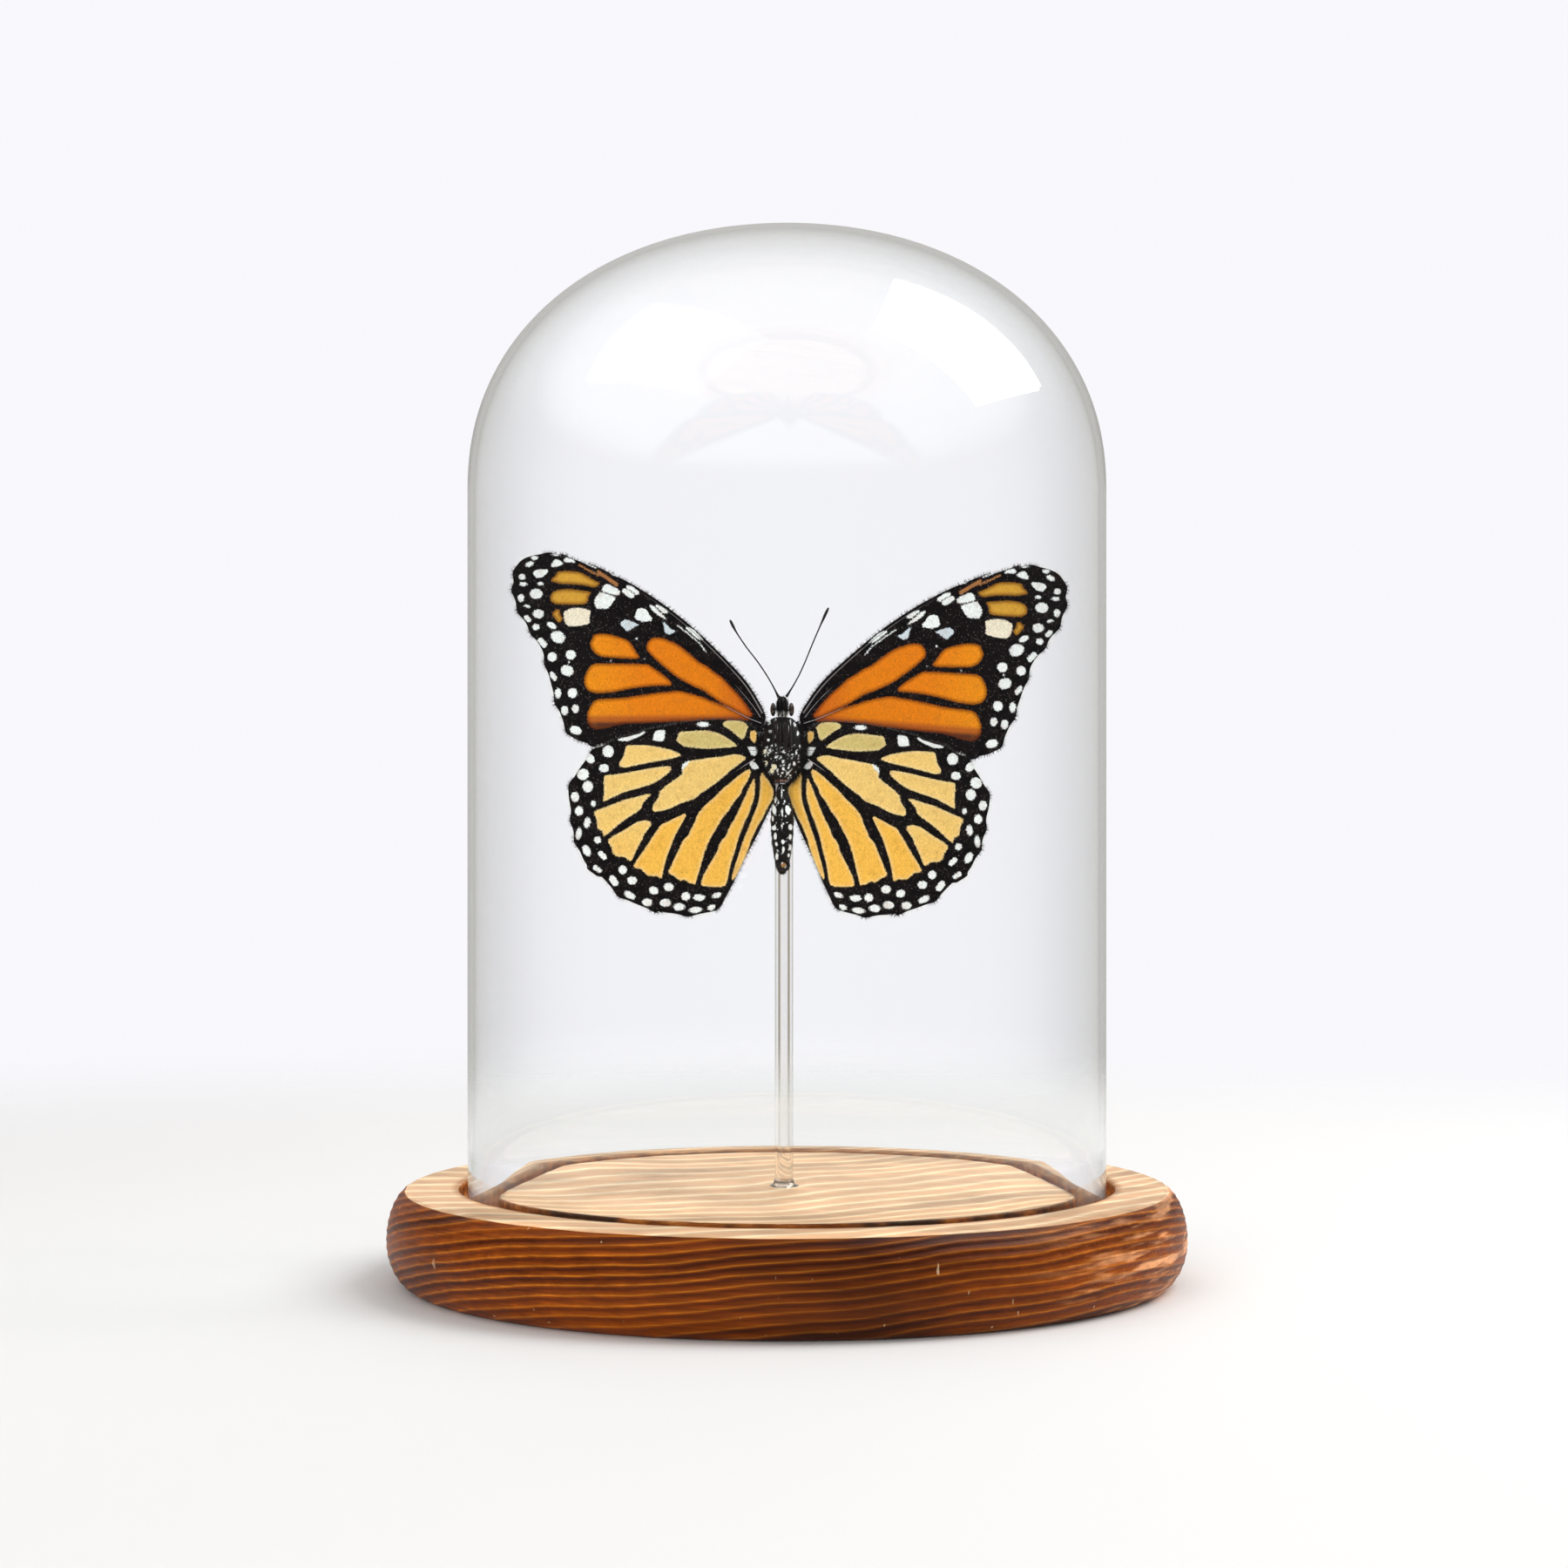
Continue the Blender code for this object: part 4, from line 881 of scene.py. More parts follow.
def membrane_mesh(edge, veins):
    """A fine triangle mesh that fills a wing's outline."""
    loop = margin_loop(edge, veins)
    low, high = loop.min(axis=0), loop.max(axis=0)
    rows = np.arange(low[1], high[1], WING_MESH * math.sqrt(3) / 2)
    columns = np.arange(low[0], high[0], WING_MESH)
    grid = np.array([(u + WING_MESH / 2 * (i % 2), v) for i, v in enumerate(rows) for u in columns])
    grid = grid[inside_loop(grid, loop)]
    grid = grid[to_line(grid, loop, True) > WING_MESH * 0.55]
    count = len(loop)
    points = [Vector(point) for point in np.vstack([loop, grid])]
    found = delaunay_2d_cdt(points, [(i, (i + 1) % count) for i in range(count)], [], 1, 1e-5)
    return np.array([tuple(point) for point in found[0]]), [list(face) for face in found[2]], count


def wing_scales_material():
    """Fine scales: each drawn marking has a ragged edge one scale deep, and each scale its own shade."""
    material, tree, shader = new_material("wing_scales")
    drawing = node(tree, "ShaderNodeUVMap", uv_map="drawing").outputs[0]
    ragged = maths(tree, "SUBTRACT", noise(tree, drawing, 4.2, 3.0, 0.7), 0.5)
    depth = maths(tree, "ADD", attribute(tree, "depth"), maths(tree, "MULTIPLY", ragged, 0.95))
    marked = step_between(tree, depth, -0.045, 0.055)
    rows = stretched(tree, drawing, (9.0, 6.0, 1.0), (0, 0, math.radians(35)))
    scales = node(tree, "ShaderNodeTexVoronoi", {"Vector": rows, "Scale": 1.0, "Randomness": 0.7})
    each = node(tree, "ShaderNodeSeparateColor", {0: scales.outputs["Color"]}).outputs
    shade = maths(tree, "MULTIPLY_ADD", each[0], 0.30, 0.83)
    cloud = noise(tree, drawing, 0.55, 3.0, 0.6)
    edge_glow = maths(tree, "MULTIPLY", step_between(tree, depth, 0.62, 0.10), attribute(tree, "rim"))
    marking = blend(tree, edge_glow, attribute(tree, "marking", "Color"), (0.92, 0.76, 0.42, 1))
    marking = blend(tree, maths(tree, "MULTIPLY", step_between(tree, cloud, 0.5, 0.72), 0.22), marking,
                    (0.42, 0.13, 0.02, 1))
    thin = maths(tree, "MULTIPLY", step_between(tree, depth, 0.75, 0.0), attribute(tree, "soft"))
    marking = blend(tree, maths(tree, "MULTIPLY", thin, 0.75), marking, (0.13, 0.022, 0.004, 1))
    worn = maths(tree, "MULTIPLY", step_between(tree, each[1], 0.93, 0.97), 0.30)
    marking = blend(tree, worn, marking, (0.16, 0.06, 0.03, 1))
    black = ramp(tree, cloud, (0.35, (0.0035, 0.0028, 0.0035)), (0.6, (0.007, 0.005, 0.006)),
                 (0.8, (0.022, 0.012, 0.011)))
    dusted = maths(tree, "MULTIPLY", step_between(tree, each[2], 0.955, 0.985), 0.34)
    black = blend(tree, dusted, black, (0.36, 0.29, 0.27, 1))
    colour = blend(tree, marked, black, marking)
    shades = node(tree, "ShaderNodeCombineColor", {0: shade, 1: shade, 2: shade}).outputs[0]
    tree.links.new(blend(tree, 1.0, colour, shades, "MULTIPLY"), shader.inputs["Base Color"])
    tree.links.new(maths(tree, "MULTIPLY_ADD", each[0], 0.2, 0.50), shader.inputs["Roughness"])
    shader.inputs["Specular IOR Level"].default_value = 0.05
    nap = maths(tree, "ADD", scales.outputs["Distance"], maths(tree, "MULTIPLY", marked, 0.5))
    bump = node(tree, "ShaderNodeBump", {"Height": nap, "Strength": 0.35, "Distance": 0.00004})
    tree.links.new(bump.outputs[0], shader.inputs["Normal"])
    return material


wing_scales = wing_scales_material()


def wing_mesh(name, drawing, shades, y, side, node_name):
    """One membrane with an underside and an upper side, joined round its edge."""
    (points, faces, count), paints, creases = drawing
    total = len(points)
    sheets = [wing_world(points, node_name, y, side, lift + creases) for lift in SHEETS]
    front = [face if side < 0 else face[::-1] for face in faces]
    back = [[corner + total for corner in face[::-1]] for face in front]
    rim = []
    for i in range(count):
        j = (i + 1) % count
        wall = [i, j, j + total, i + total]
        rim.append(wall[::-1] if side < 0 else wall)
    piece = mesh_object(name, np.vstack(sheets), front + back + rim, wing_scales)
    store(piece, "depth", np.concatenate([depth for depth, _ in paints]))
    colours = np.vstack([shades(points, colour, upper) for upper, (_, colour) in enumerate(paints)])
    store(piece, "marking", np.hstack([colours, np.ones((len(colours), 1))]), "FLOAT_COLOR")
    buff = (colours[:, 2] < 0.3) & (colours[:, 1] > 0.4)
    # rim lightens the edges of buff cells, and soft darkens those of orange ones
    store(piece, "rim", buff * RIM_GLOW)
    store(piece, "soft", ((colours[:, 2] < 0.06) & (colours[:, 1] < 0.4)) * 1.0)
    map_ = piece.data.uv_layers.new(name="drawing")
    corners = np.empty(len(piece.data.loops), np.int32)
    piece.data.loops.foreach_get("vertex_index", corners)
    places = np.vstack([points, points + UPPER_MAP])[corners]
    map_.data.foreach_set("uv", places.astype(np.float32).reshape(-1))
    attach(piece, "root")
    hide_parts(node_name)


for kind, edge, cells, spots, streaks, veins, shades, y in (
    ("forewing", FOREWING_EDGE, FOREWING_CELLS, FOREWING_SPOTS, FOREWING_STREAKS, FOREWING_VEINS,
     forewing_shades, FOREWING_Y),
    ("hindwing", HINDWING_EDGE, HINDWING_CELLS, HINDWING_SPOTS, HINDWING_STREAKS, HINDWING_VEINS,
     hindwing_shades, HINDWING_Y),
):
    filled = membrane_mesh(edge, veins)
    crease = np.full(len(filled[0]), 9.0)
    for _, _, line in veins:
        crease = np.minimum(crease, to_line(filled[0], smooth_curve(line, 3, closed=False), False))
    creases = CREASE * (1 - np.exp(-(crease / 1.1) ** 2))
    paints = [painted(filled[0], cells, spots, streaks, upper) for upper in (0, 1)]
    for side, word in ((-1, "left"), (1, "right")):
        wing_mesh(f"{kind}_{word}_scaled", (filled, paints, creases), shades, y, side, f"{kind}_{word}")


# ---------------------------------------------------------------------------------------------
# Wing veins. Hollow ribs of dark cuticle in the membrane, thickest at the root and thinning to the margin,
# standing proud on both faces. The main ones are pale along their length, most towards the root.
def socket_in(tree, name, kind, value=None):
    made = tree.interface.new_socket(name, in_out="INPUT", socket_type=kind)
    if value is not None:
        made.default_value = value


def jointed_tube_tree():
    """A round tube along each spline, swelling and narrowing at its joints."""
    tree = bpy.data.node_groups.new("jointed_tube", "GeometryNodeTree")
    tree.interface.new_socket("Geometry", in_out="OUTPUT", socket_type="NodeSocketGeometry")
    socket_in(tree, "Geometry", "NodeSocketGeometry")
    socket_in(tree, "Step", "NodeSocketFloat", 0.0002)
    socket_in(tree, "Sides", "NodeSocketInt", 8)
    socket_in(tree, "Joint Spacing", "NodeSocketFloat", 0.0005)
    socket_in(tree, "Joint Depth", "NodeSocketFloat", 0.0)
    socket_in(tree, "Finish", "NodeSocketMaterial")
    given = node(tree, "NodeGroupInput").outputs
    even = node(tree, "GeometryNodeResampleCurve", {"Curve": given["Geometry"], "Length": given["Step"]},
                mode="LENGTH")
    travelled = node(tree, "GeometryNodeSplineParameter").outputs["Length"]
    turns = maths(tree, "MULTIPLY", maths(tree, "DIVIDE", travelled, given["Joint Spacing"]), 2 * math.pi)
    wave = maths(tree, "MULTIPLY", maths(tree, "SINE", turns), given["Joint Depth"])
    thickness = maths(tree, "MULTIPLY", node(tree, "GeometryNodeInputRadius").outputs[0],
                      maths(tree, "ADD", wave, 1.0))
    pale = node(tree, "GeometryNodeStoreNamedAttribute", {
        "Geometry": even.outputs[0], "Name": "pale",
        "Value": node(tree, "GeometryNodeInputCurveTilt").outputs[0],
    }, data_type="FLOAT", domain="POINT")
    ring = node(tree, "GeometryNodeCurvePrimitiveCircle", {"Resolution": given["Sides"], "Radius": 1.0},
                mode="RADIUS")
    tube = node(tree, "GeometryNodeCurveToMesh", {
        "Curve": pale.outputs[0], "Profile Curve": ring.outputs[0], "Scale": thickness, "Fill Caps": True,
    })
    smooth = node(tree, "GeometryNodeSetShadeSmooth", {0: tube.outputs[0], "Shade Smooth": True})
    real = node(tree, "GeometryNodeRealizeInstances", {0: smooth.outputs[0]})
    done = node(tree, "GeometryNodeSetMaterial", {"Geometry": real.outputs[0], "Material": given["Finish"]})
    node(tree, "NodeGroupOutput", {0: done.outputs[0]})
    return tree


def grown(name, carrier, tree, values, keep=False):
    """The plain mesh that a tree makes from a carrier. The carrier goes, unless it is a piece itself."""
    modifier = carrier.modifiers.new("growth", "NODES")
    modifier.node_group = tree
    for item in tree.interface.items_tree:
        if item.item_type == "SOCKET" and item.in_out == "INPUT" and item.name in values:
            modifier[item.identifier] = values[item.name]
    bpy.context.view_layer.update()
    seen = bpy.context.evaluated_depsgraph_get()
    mesh = bpy.data.meshes.new_from_object(carrier.evaluated_get(seen), depsgraph=seen)
    mesh.name = name
    carrier.modifiers.remove(modifier)
    if not keep:
        bpy.data.objects.remove(carrier)
    made = bpy.data.objects.new(name, mesh)
    bpy.context.scene.collection.objects.link(made)
    return made


def curve_carrier(name, lines):
    """A curve object of (points, radii, pale shares), one spline each. The tilt carries the pale share,
    since a round tube has no other use for it."""
    curve = bpy.data.curves.new(name, "CURVE")
    curve.dimensions = "3D"
    for line, radii, pales in lines:
        spline = curve.splines.new("POLY")
        spline.points.add(len(line) - 1)
        for point, place, thick, pale in zip(spline.points, line, radii, pales):
            point.co = (*place, 1)
            point.radius = thick
            point.tilt = pale
    made = bpy.data.objects.new(name, curve)
    bpy.context.scene.collection.objects.link(made)
    return made


def mottled_cuticle_group():
    """Mottled dark cuticle, lightened where it is worn or pale."""
    group = bpy.data.node_groups.new("mottled_cuticle", "ShaderNodeTree")
    for name, kind in (("Dark", "Color"), ("Pale", "Color"), ("Pale Share", "Float"), ("Grain", "Float"),
                       ("Smoothest", "Float")):
        group.interface.new_socket(name, in_out="INPUT", socket_type=f"NodeSocket{kind}")
    for name, kind in (("Color", "Color"), ("Roughness", "Float"), ("Height", "Float")):
        group.interface.new_socket(name, in_out="OUTPUT", socket_type=f"NodeSocket{kind}")
    given = node(group, "NodeGroupInput").outputs
    mottle = noise(group, node(group, "ShaderNodeTexCoord").outputs["Object"], given["Grain"], 3.0, 0.6)
    strength = maths(group, "MULTIPLY_ADD", step_between(group, mottle, 0.3, 0.7), 1.1, 0.6)
    shade = node(group, "ShaderNodeVectorMath", {0: given["Dark"], "Scale": strength},
                 operation="SCALE").outputs[0]
    worn = maths(group, "MULTIPLY", given["Pale Share"], step_between(group, mottle, 0.15, 0.5))
    node(group, "NodeGroupOutput", {
        "Color": blend(group, worn, shade, given["Pale"]), "Height": mottle,
        "Roughness": maths(group, "MULTIPLY_ADD", mottle, 0.25, given["Smoothest"]),
    })
    return group


def cuticle_material(name, dark, pale, smoothest, grain):
    """Dark cuticle or hair, pale where the attribute pale says so."""
    material, tree, shader = new_material(name)
    mottled = tree.nodes.new("ShaderNodeGroup")
    mottled.node_tree = mottled_cuticle
    for key, value in (("Dark", (*dark, 1)), ("Pale", (*pale, 1)), ("Grain", grain),
                       ("Smoothest", smoothest)):
        mottled.inputs[key].default_value = value
    tree.links.new(attribute(tree, "pale"), mottled.inputs["Pale Share"])
    tree.links.new(mottled.outputs["Color"], shader.inputs["Base Color"])
    tree.links.new(mottled.outputs["Roughness"], shader.inputs["Roughness"])
    shader.inputs["Specular IOR Level"].default_value = 0.18
    bump = node(tree, "ShaderNodeBump",
                {"Height": mottled.outputs["Height"], "Strength": 0.3, "Distance": 0.00004})
    tree.links.new(bump.outputs[0], shader.inputs["Normal"])
    return material


VEIN_WIDTH = 0.45  # of the drawn radius, since the tube stands proud on both faces
VEIN_TAPER = 0.72
mottled_cuticle = mottled_cuticle_group()
jointed_tube = jointed_tube_tree()
vein_cuticle = cuticle_material("vein_cuticle", (0.010, 0.006, 0.007), (0.97, 0.90, 0.92), 0.35, 900)
for kind, veins, y in (("forewing", FOREWING_VEINS, FOREWING_Y), ("hindwing", HINDWING_VEINS, HINDWING_Y)):
    for side, word in ((-1, "left"), (1, "right")):
        lines = []
        for root_radius, pale, route in veins:
            line = smooth_curve(route, 6, closed=False)
            share = np.linspace(0, 1, len(line))
            radii = root_radius * VEIN_WIDTH * (1 - VEIN_TAPER * share ** 0.6) * MM
            lines.append((wing_world(line, f"{kind}_{word}", y, side), radii, pale * (1 - share) ** 0.6))
        ribs = grown(f"{kind}_{word}_veins", curve_carrier("vein_routes", lines), jointed_tube,
                     {"Step": 0.0003, "Sides": 8, "Joint Depth": 0.0, "Finish": vein_cuticle})
        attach(ribs, "root")


# ---------------------------------------------------------------------------------------------
# Wing fringe. A row of hair-like scales stands out all round each wing, white between the ends of the veins
# and dark beside them.
def hair_coat_tree():
    """Fine bent hairs scattered over a surface, each keeping the pale share of the place where it grows."""
    tree = bpy.data.node_groups.new("hair_coat", "GeometryNodeTree")
    tree.interface.new_socket("Geometry", in_out="OUTPUT", socket_type="NodeSocketGeometry")
    socket_in(tree, "Geometry", "NodeSocketGeometry")
    for name, value in (("Density", 1e7), ("Length", 0.0006), ("Width", 0.00003), ("Spread", 0.4),
                        ("Bend", 0.3)):
        socket_in(tree, name, "NodeSocketFloat", value)
    socket_in(tree, "Lean", "NodeSocketVector", (0.0, 0.0, 0.0))
    socket_in(tree, "Seed", "NodeSocketInt", 1)
    socket_in(tree, "Finish", "NodeSocketMaterial")
    given = node(tree, "NodeGroupInput").outputs
    roots = node(tree, "GeometryNodeDistributePointsOnFaces", {
        "Mesh": given["Geometry"], "Density": given["Density"], "Seed": given["Seed"],
    }, distribute_method="RANDOM").outputs
    stray = node(tree, "FunctionNodeRandomValue", {0: (-1, -1, -1), 1: (1, 1, 1), "Seed": given["Seed"]},
                 data_type="FLOAT_VECTOR")
    scattered = node(tree, "ShaderNodeVectorMath", {0: stray.outputs[0], "Scale": given["Spread"]},
                     operation="SCALE").outputs[0]
    heading = node(tree, "ShaderNodeVectorMath", {0: roots["Normal"], 1: given["Lean"]},
                   operation="ADD").outputs[0]
    heading = node(tree, "ShaderNodeVectorMath", {0: heading, 1: scattered}, operation="ADD").outputs[0]
    turn = node(tree, "FunctionNodeAlignRotationToVector", {"Vector": heading}, axis="Z").outputs[0]
    lengths = node(tree, "FunctionNodeRandomValue", {2: 0.55, 3: 1.3, "Seed": given["Seed"]},
                   data_type="FLOAT").outputs[1]
    cone = node(tree, "GeometryNodeMeshCone", {
        "Vertices": 3, "Side Segments": 2, "Radius Top": 0.0, "Depth": 1.0,
        "Radius Bottom": maths(tree, "DIVIDE", given["Width"], given["Length"]),
    }, fill_type="NGON").outputs[0]
    up = node(tree, "ShaderNodeSeparateXYZ",
              {0: node(tree, "GeometryNodeInputPosition").outputs[0]}).outputs[2]
    swing = maths(tree, "MULTIPLY", maths(tree, "MULTIPLY", up, up), given["Bend"])
    bent = node(tree, "GeometryNodeSetPosition", {
        "Geometry": cone, "Offset": node(tree, "ShaderNodeCombineXYZ", {0: swing}).outputs[0],
    }).outputs[0]
    hairs = node(tree, "GeometryNodeInstanceOnPoints", {
        "Points": roots["Points"], "Instance": bent, "Rotation": turn,
        "Scale": maths(tree, "MULTIPLY", lengths, given["Length"]),
    }).outputs[0]
    real = node(tree, "GeometryNodeRealizeInstances", {0: hairs})
    done = node(tree, "GeometryNodeSetMaterial", {"Geometry": real.outputs[0], "Material": given["Finish"]})
    node(tree, "NodeGroupOutput", {0: done.outputs[0]})
    return tree


hair_coat = hair_coat_tree()
fringe_hair = cuticle_material("fringe_hair", (0.008, 0.006, 0.007), (0.88, 0.88, 0.84), 0.5, 1800)
for seed, (kind, edge, veins, y) in enumerate((
    ("forewing", FOREWING_EDGE, FOREWING_VEINS, FOREWING_Y),
    ("hindwing", HINDWING_EDGE, HINDWING_VEINS, HINDWING_Y),
)):
    loop = margin_loop(edge, veins)
    tips = np.array([route[-1] for _, _, route in veins])
    to_tip = np.min(np.hypot(*(loop[:, None] - tips[None]).transpose(2, 0, 1)), axis=1)
    outer = (loop[:, 0] > 36) if kind == "forewing" else (loop[:, 1] < 2) & (loop[:, 0] > 9.5)
    pale = np.where(outer, np.clip((to_tip - 0.9) / 0.4, 0, 1), 0.08)
    count = len(loop)
    for side, word in ((-1, "left"), (1, "right")):
        edges = [wing_world(loop, f"{kind}_{word}", y, side, lift) for lift in SHEETS]
        walls = [[i, (i + 1) % count, (i + 1) % count + count, i + count] for i in range(count)]
        strip = mesh_object("fringe_strip", np.vstack(edges), [w[::-1] if side < 0 else w for w in walls])
        store(strip, "pale", np.concatenate([pale, pale]))
        fringe = grown(f"{kind}_{word}_fringe", strip, hair_coat, {
            "Density": 8.0e7, "Length": 0.00055, "Width": 0.00004, "Spread": 0.3, "Bend": 0.15,
            "Seed": 11 + seed, "Finish": fringe_hair,
        })
        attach(fringe, "root")


# ---------------------------------------------------------------------------------------------
# Thorax, abdomen and head. Hard black cuticle under a short coat of black hairs, set with small tufts of
# white and yellowish scales. The abdomen is ringed, with a broken white stripe along each side. The three
# dried together as one stiff body.
THORAX_Y = (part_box("thorax")[0][1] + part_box("thorax")[1][1]) / 2
ABDOMEN_Y = (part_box("abdomen")[0][1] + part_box("abdomen")[1][1]) / 2
HEAD_Y = (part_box("head")[0][1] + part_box("head")[1][1]) / 2
YELLOWISH = (0.80, 0.74, 0.50)
COPPER = (0.18, 0.045, 0.025)
GREYISH = (0.42, 0.41, 0.42)
GOLDEN_BROWN = (0.36, 0.19, 0.06)
# (v, half width, half depth) from the lower end to the upper end, all in millimetres
THORAX_SECTIONS = [
    (-4.35, 0.4, 0.4), (-4.2, 0.95, 0.85), (-4, 1.35, 1.2), (-3.2, 2.1, 1.9), (-2, 2.9, 2.6),
    (0, 3.65, 3.15), (2, 3.8, 3.3), (4, 3.4, 3), (5.4, 2.8, 2.4), (6.4, 2, 1.7), (6.75, 1.4, 1.2),
    (6.9, 0.6, 0.5),
]
ABDOMEN_SECTIONS = [
    (-19.9, 0.15, 0.15), (-19.6, .6, .6), (-18.6, 1.1, 1.1), (-17, 1.4, 1.35), (-14.2, 1.78, 1.7),
    (-11.5, 1.95, 1.85), (-9.6, 1.95, 1.85), (-7.5, 1.5, 1.45), (-6, 1.1, 1.05), (-4.5, .7, .7),
]
HEAD_SECTIONS = [
    (7.02, 0.3, 0.4), (7.1, 0.6, 0.8), (7.3, .8, 1.05), (7.8, .95, 1.35), (8.5, 1.0, 1.5), (9.4, .95, 1.4),
    (10.1, .65, 1), (10.35, .35, .5),
]
BODY_SPANS = {"thorax": 8, "abdomen": 10, "head": 6}
BODY_SIDES = 110
SMALL_TUFTS = 105
SMALL_MARKS = 60
ABDOMEN_RING = 1.85  # mm from one groove to the next

# Tufts on the underside as (colour, u, v, width, height, turn)
THORAX_TUFTS = [
    (WHITE, -2.37, 5.93, .9, .8, 0), (WHITE, 2.13, 5.62, .45, .85, 0), (WHITE, -1.0, 5.66, .42, 2.0, 12),
    (WHITE, 1.25, 5.45, .4, 2.15, -9), (WHITE, -3.3, 4.29, .55, .65, 0), (WHITE, 2.63, 4.12, .4, .8, 0),
    (GREYISH, -2.03, 4.4, .7, .6, 0), (WHITE, -1.31, 3.6, .32, .8, 8), (WHITE, -.42, 3.23, .3, .5, 10),
    (WHITE, -2.37, 2.95, .5, .5, 0), (WHITE, -3.55, 2.4, .3, .7, 0), (WHITE, -1.37, 2.07, .65, .75, 20),
    (YELLOWISH, -3.0, .96, .7, .75, 0), (WHITE, -2.09, 1.23, .4, .5, 20), (WHITE, -2.31, .68, .4, .3, -20),
    (WHITE, -.64, 1.23, .6, .5, -30), (WHITE, .36, 1.01, .7, .6, 0), (WHITE, -.03, 1.68, .3, .3, 0),
    (WHITE, -1.09, .07, .4, .5, 0), (WHITE, -1.0, -.38, .4, .22, 0), (WHITE, 2.36, .73, .4, .6, 0),
    (WHITE, 1.69, .5, .35, .35, 0), (WHITE, 1.74, -.1, .3, .3, 0), (WHITE, -3.3, -.54, .3, .5, 0),
    (YELLOWISH, -2.75, -.93, .65, .8, 0), (WHITE, .19, -.6, .7, .3, -15), (WHITE, 2.02, -1.04, .45, .75, 0),
    (WHITE, 1.3, -.99, .3, .3, 0), (WHITE, 1.15, -1.45, .24, .95, -18),
    (WHITE, 1.11, -2.55, .22, 1.47, -42), (YELLOWISH, -1.37, -1.6, .9, .9, 20),
    (YELLOWISH, -1.75, -2.27, .8, .8, 30), (WHITE, .19, -1.93, .45, .6, 30),
    (WHITE, -.8, -2.3, .35, .35, 0), (WHITE, 0, -2.6, .5, .35, 0), (COPPER, 0, -3.9, 2.2, .3, 0),
]
ABDOMEN_TUFTS = [
    (WHITE, -.07, -5.95, .24, 1.9, 0), (WHITE, .4, -7.4, .3, .45, 0), (WHITE, 0, -9.3, .3, 1.4, 0),
    (WHITE, -.05, -11.7, .26, 1.2, 0), (WHITE, .1, -14.3, .6, .8, 0), (WHITE, .2, -15.6, .5, 1.0, 0),
    (WHITE, -1.36, -8.9, .65, 1.7, 8), (WHITE, -1.4, -12, .8, .75, 0), (WHITE, -1.2, -13.4, .5, 1.2, 0),
    (WHITE, -1.0, -14.7, .5, .7, 0), (WHITE, -.9, -16.8, .5, 1.2, 0), (WHITE, -1.1, -7.3, .3, .9, -12),
    (WHITE, .95, -8.9, .85, 1.6, 10), (WHITE, 1.36, -11.8, .7, 1.0, 0), (WHITE, 1.36, -13.5, .5, .95, 0),
    (WHITE, 1.35, -15.2, .4, 1.0, 0), (WHITE, 1.1, -16.6, .4, .65, 0), (WHITE, -1.6, -10.4, .35, .9, 0),
    (GOLDEN_BROWN, .2, -18.3, 1.0, .8, 0), (WHITE, .0, -18.0, .3, .45, 0), (WHITE, .5, -18.6, .3, .35, 0),
]
HEAD_TUFTS = [
    (WHITE, -.8, 8.73, .42, .9, 0), (WHITE, .78, 8.79, .42, 1.0, 0), (WHITE, -.72, 7.6, .28, .8, 0),
    (WHITE, .69, 7.5, .28, .8, 0), (GREYISH, -.14, 7.68, .25, .25, 0),
]


def body_grid(sections, y, spans, sides):
    """Points and faces of a closed body with an elliptical section at each (v, half width, half depth)."""
    rows = smooth_curve(sections, spans, closed=False)
    turns = np.arange(sides) * 2 * math.pi / sides
    points = [(BODY_X, y, BODY_Z + sections[0][0] * MM)]
    for v, width, depth in rows:
        points += [(BODY_X + width * math.cos(a) * MM, y + depth * math.sin(a) * MM,
                    BODY_Z + v * MM) for a in turns]
    points.append((BODY_X, y, BODY_Z + sections[-1][0] * MM))
    last = len(points) - 1
    faces = [[0, 1 + (i + 1) % sides, 1 + i] for i in range(sides)]
    faces += [[1 + r * sides + i, 1 + r * sides + (i + 1) % sides, 1 + (r + 1) * sides + (i + 1) % sides,
               1 + (r + 1) * sides + i] for r in range(len(rows) - 1) for i in range(sides)]
    faces += [[last, last - sides + i, last - sides + (i + 1) % sides] for i in range(sides)]
    return np.array(points), faces


def tufted(piece, points, tufts, y):
    """Stores how deep each point of the underside lies in a tuft, and the tuft's colour."""
    drawn = np.stack([(points[:, 0] - BODY_X) / MM, (points[:, 2] - BODY_Z) / MM], 1)
    best = np.full(len(points), -1.0)
    colour = np.tile(np.array(WHITE), (len(points), 1))
    for tint, *spot in tufts:
        depth = spot_depth(drawn, *spot)
        nearer = (depth > best) & (points[:, 1] < y)
        best[nearer] = depth[nearer]
        colour[nearer] = tint
    store(piece, "depth", best)
    store(piece, "marking", np.hstack([colour, np.ones((len(colour), 1))]), "FLOAT_COLOR")
    store(piece, "pale", np.clip(best / 0.12 + 0.4, 0, 1))


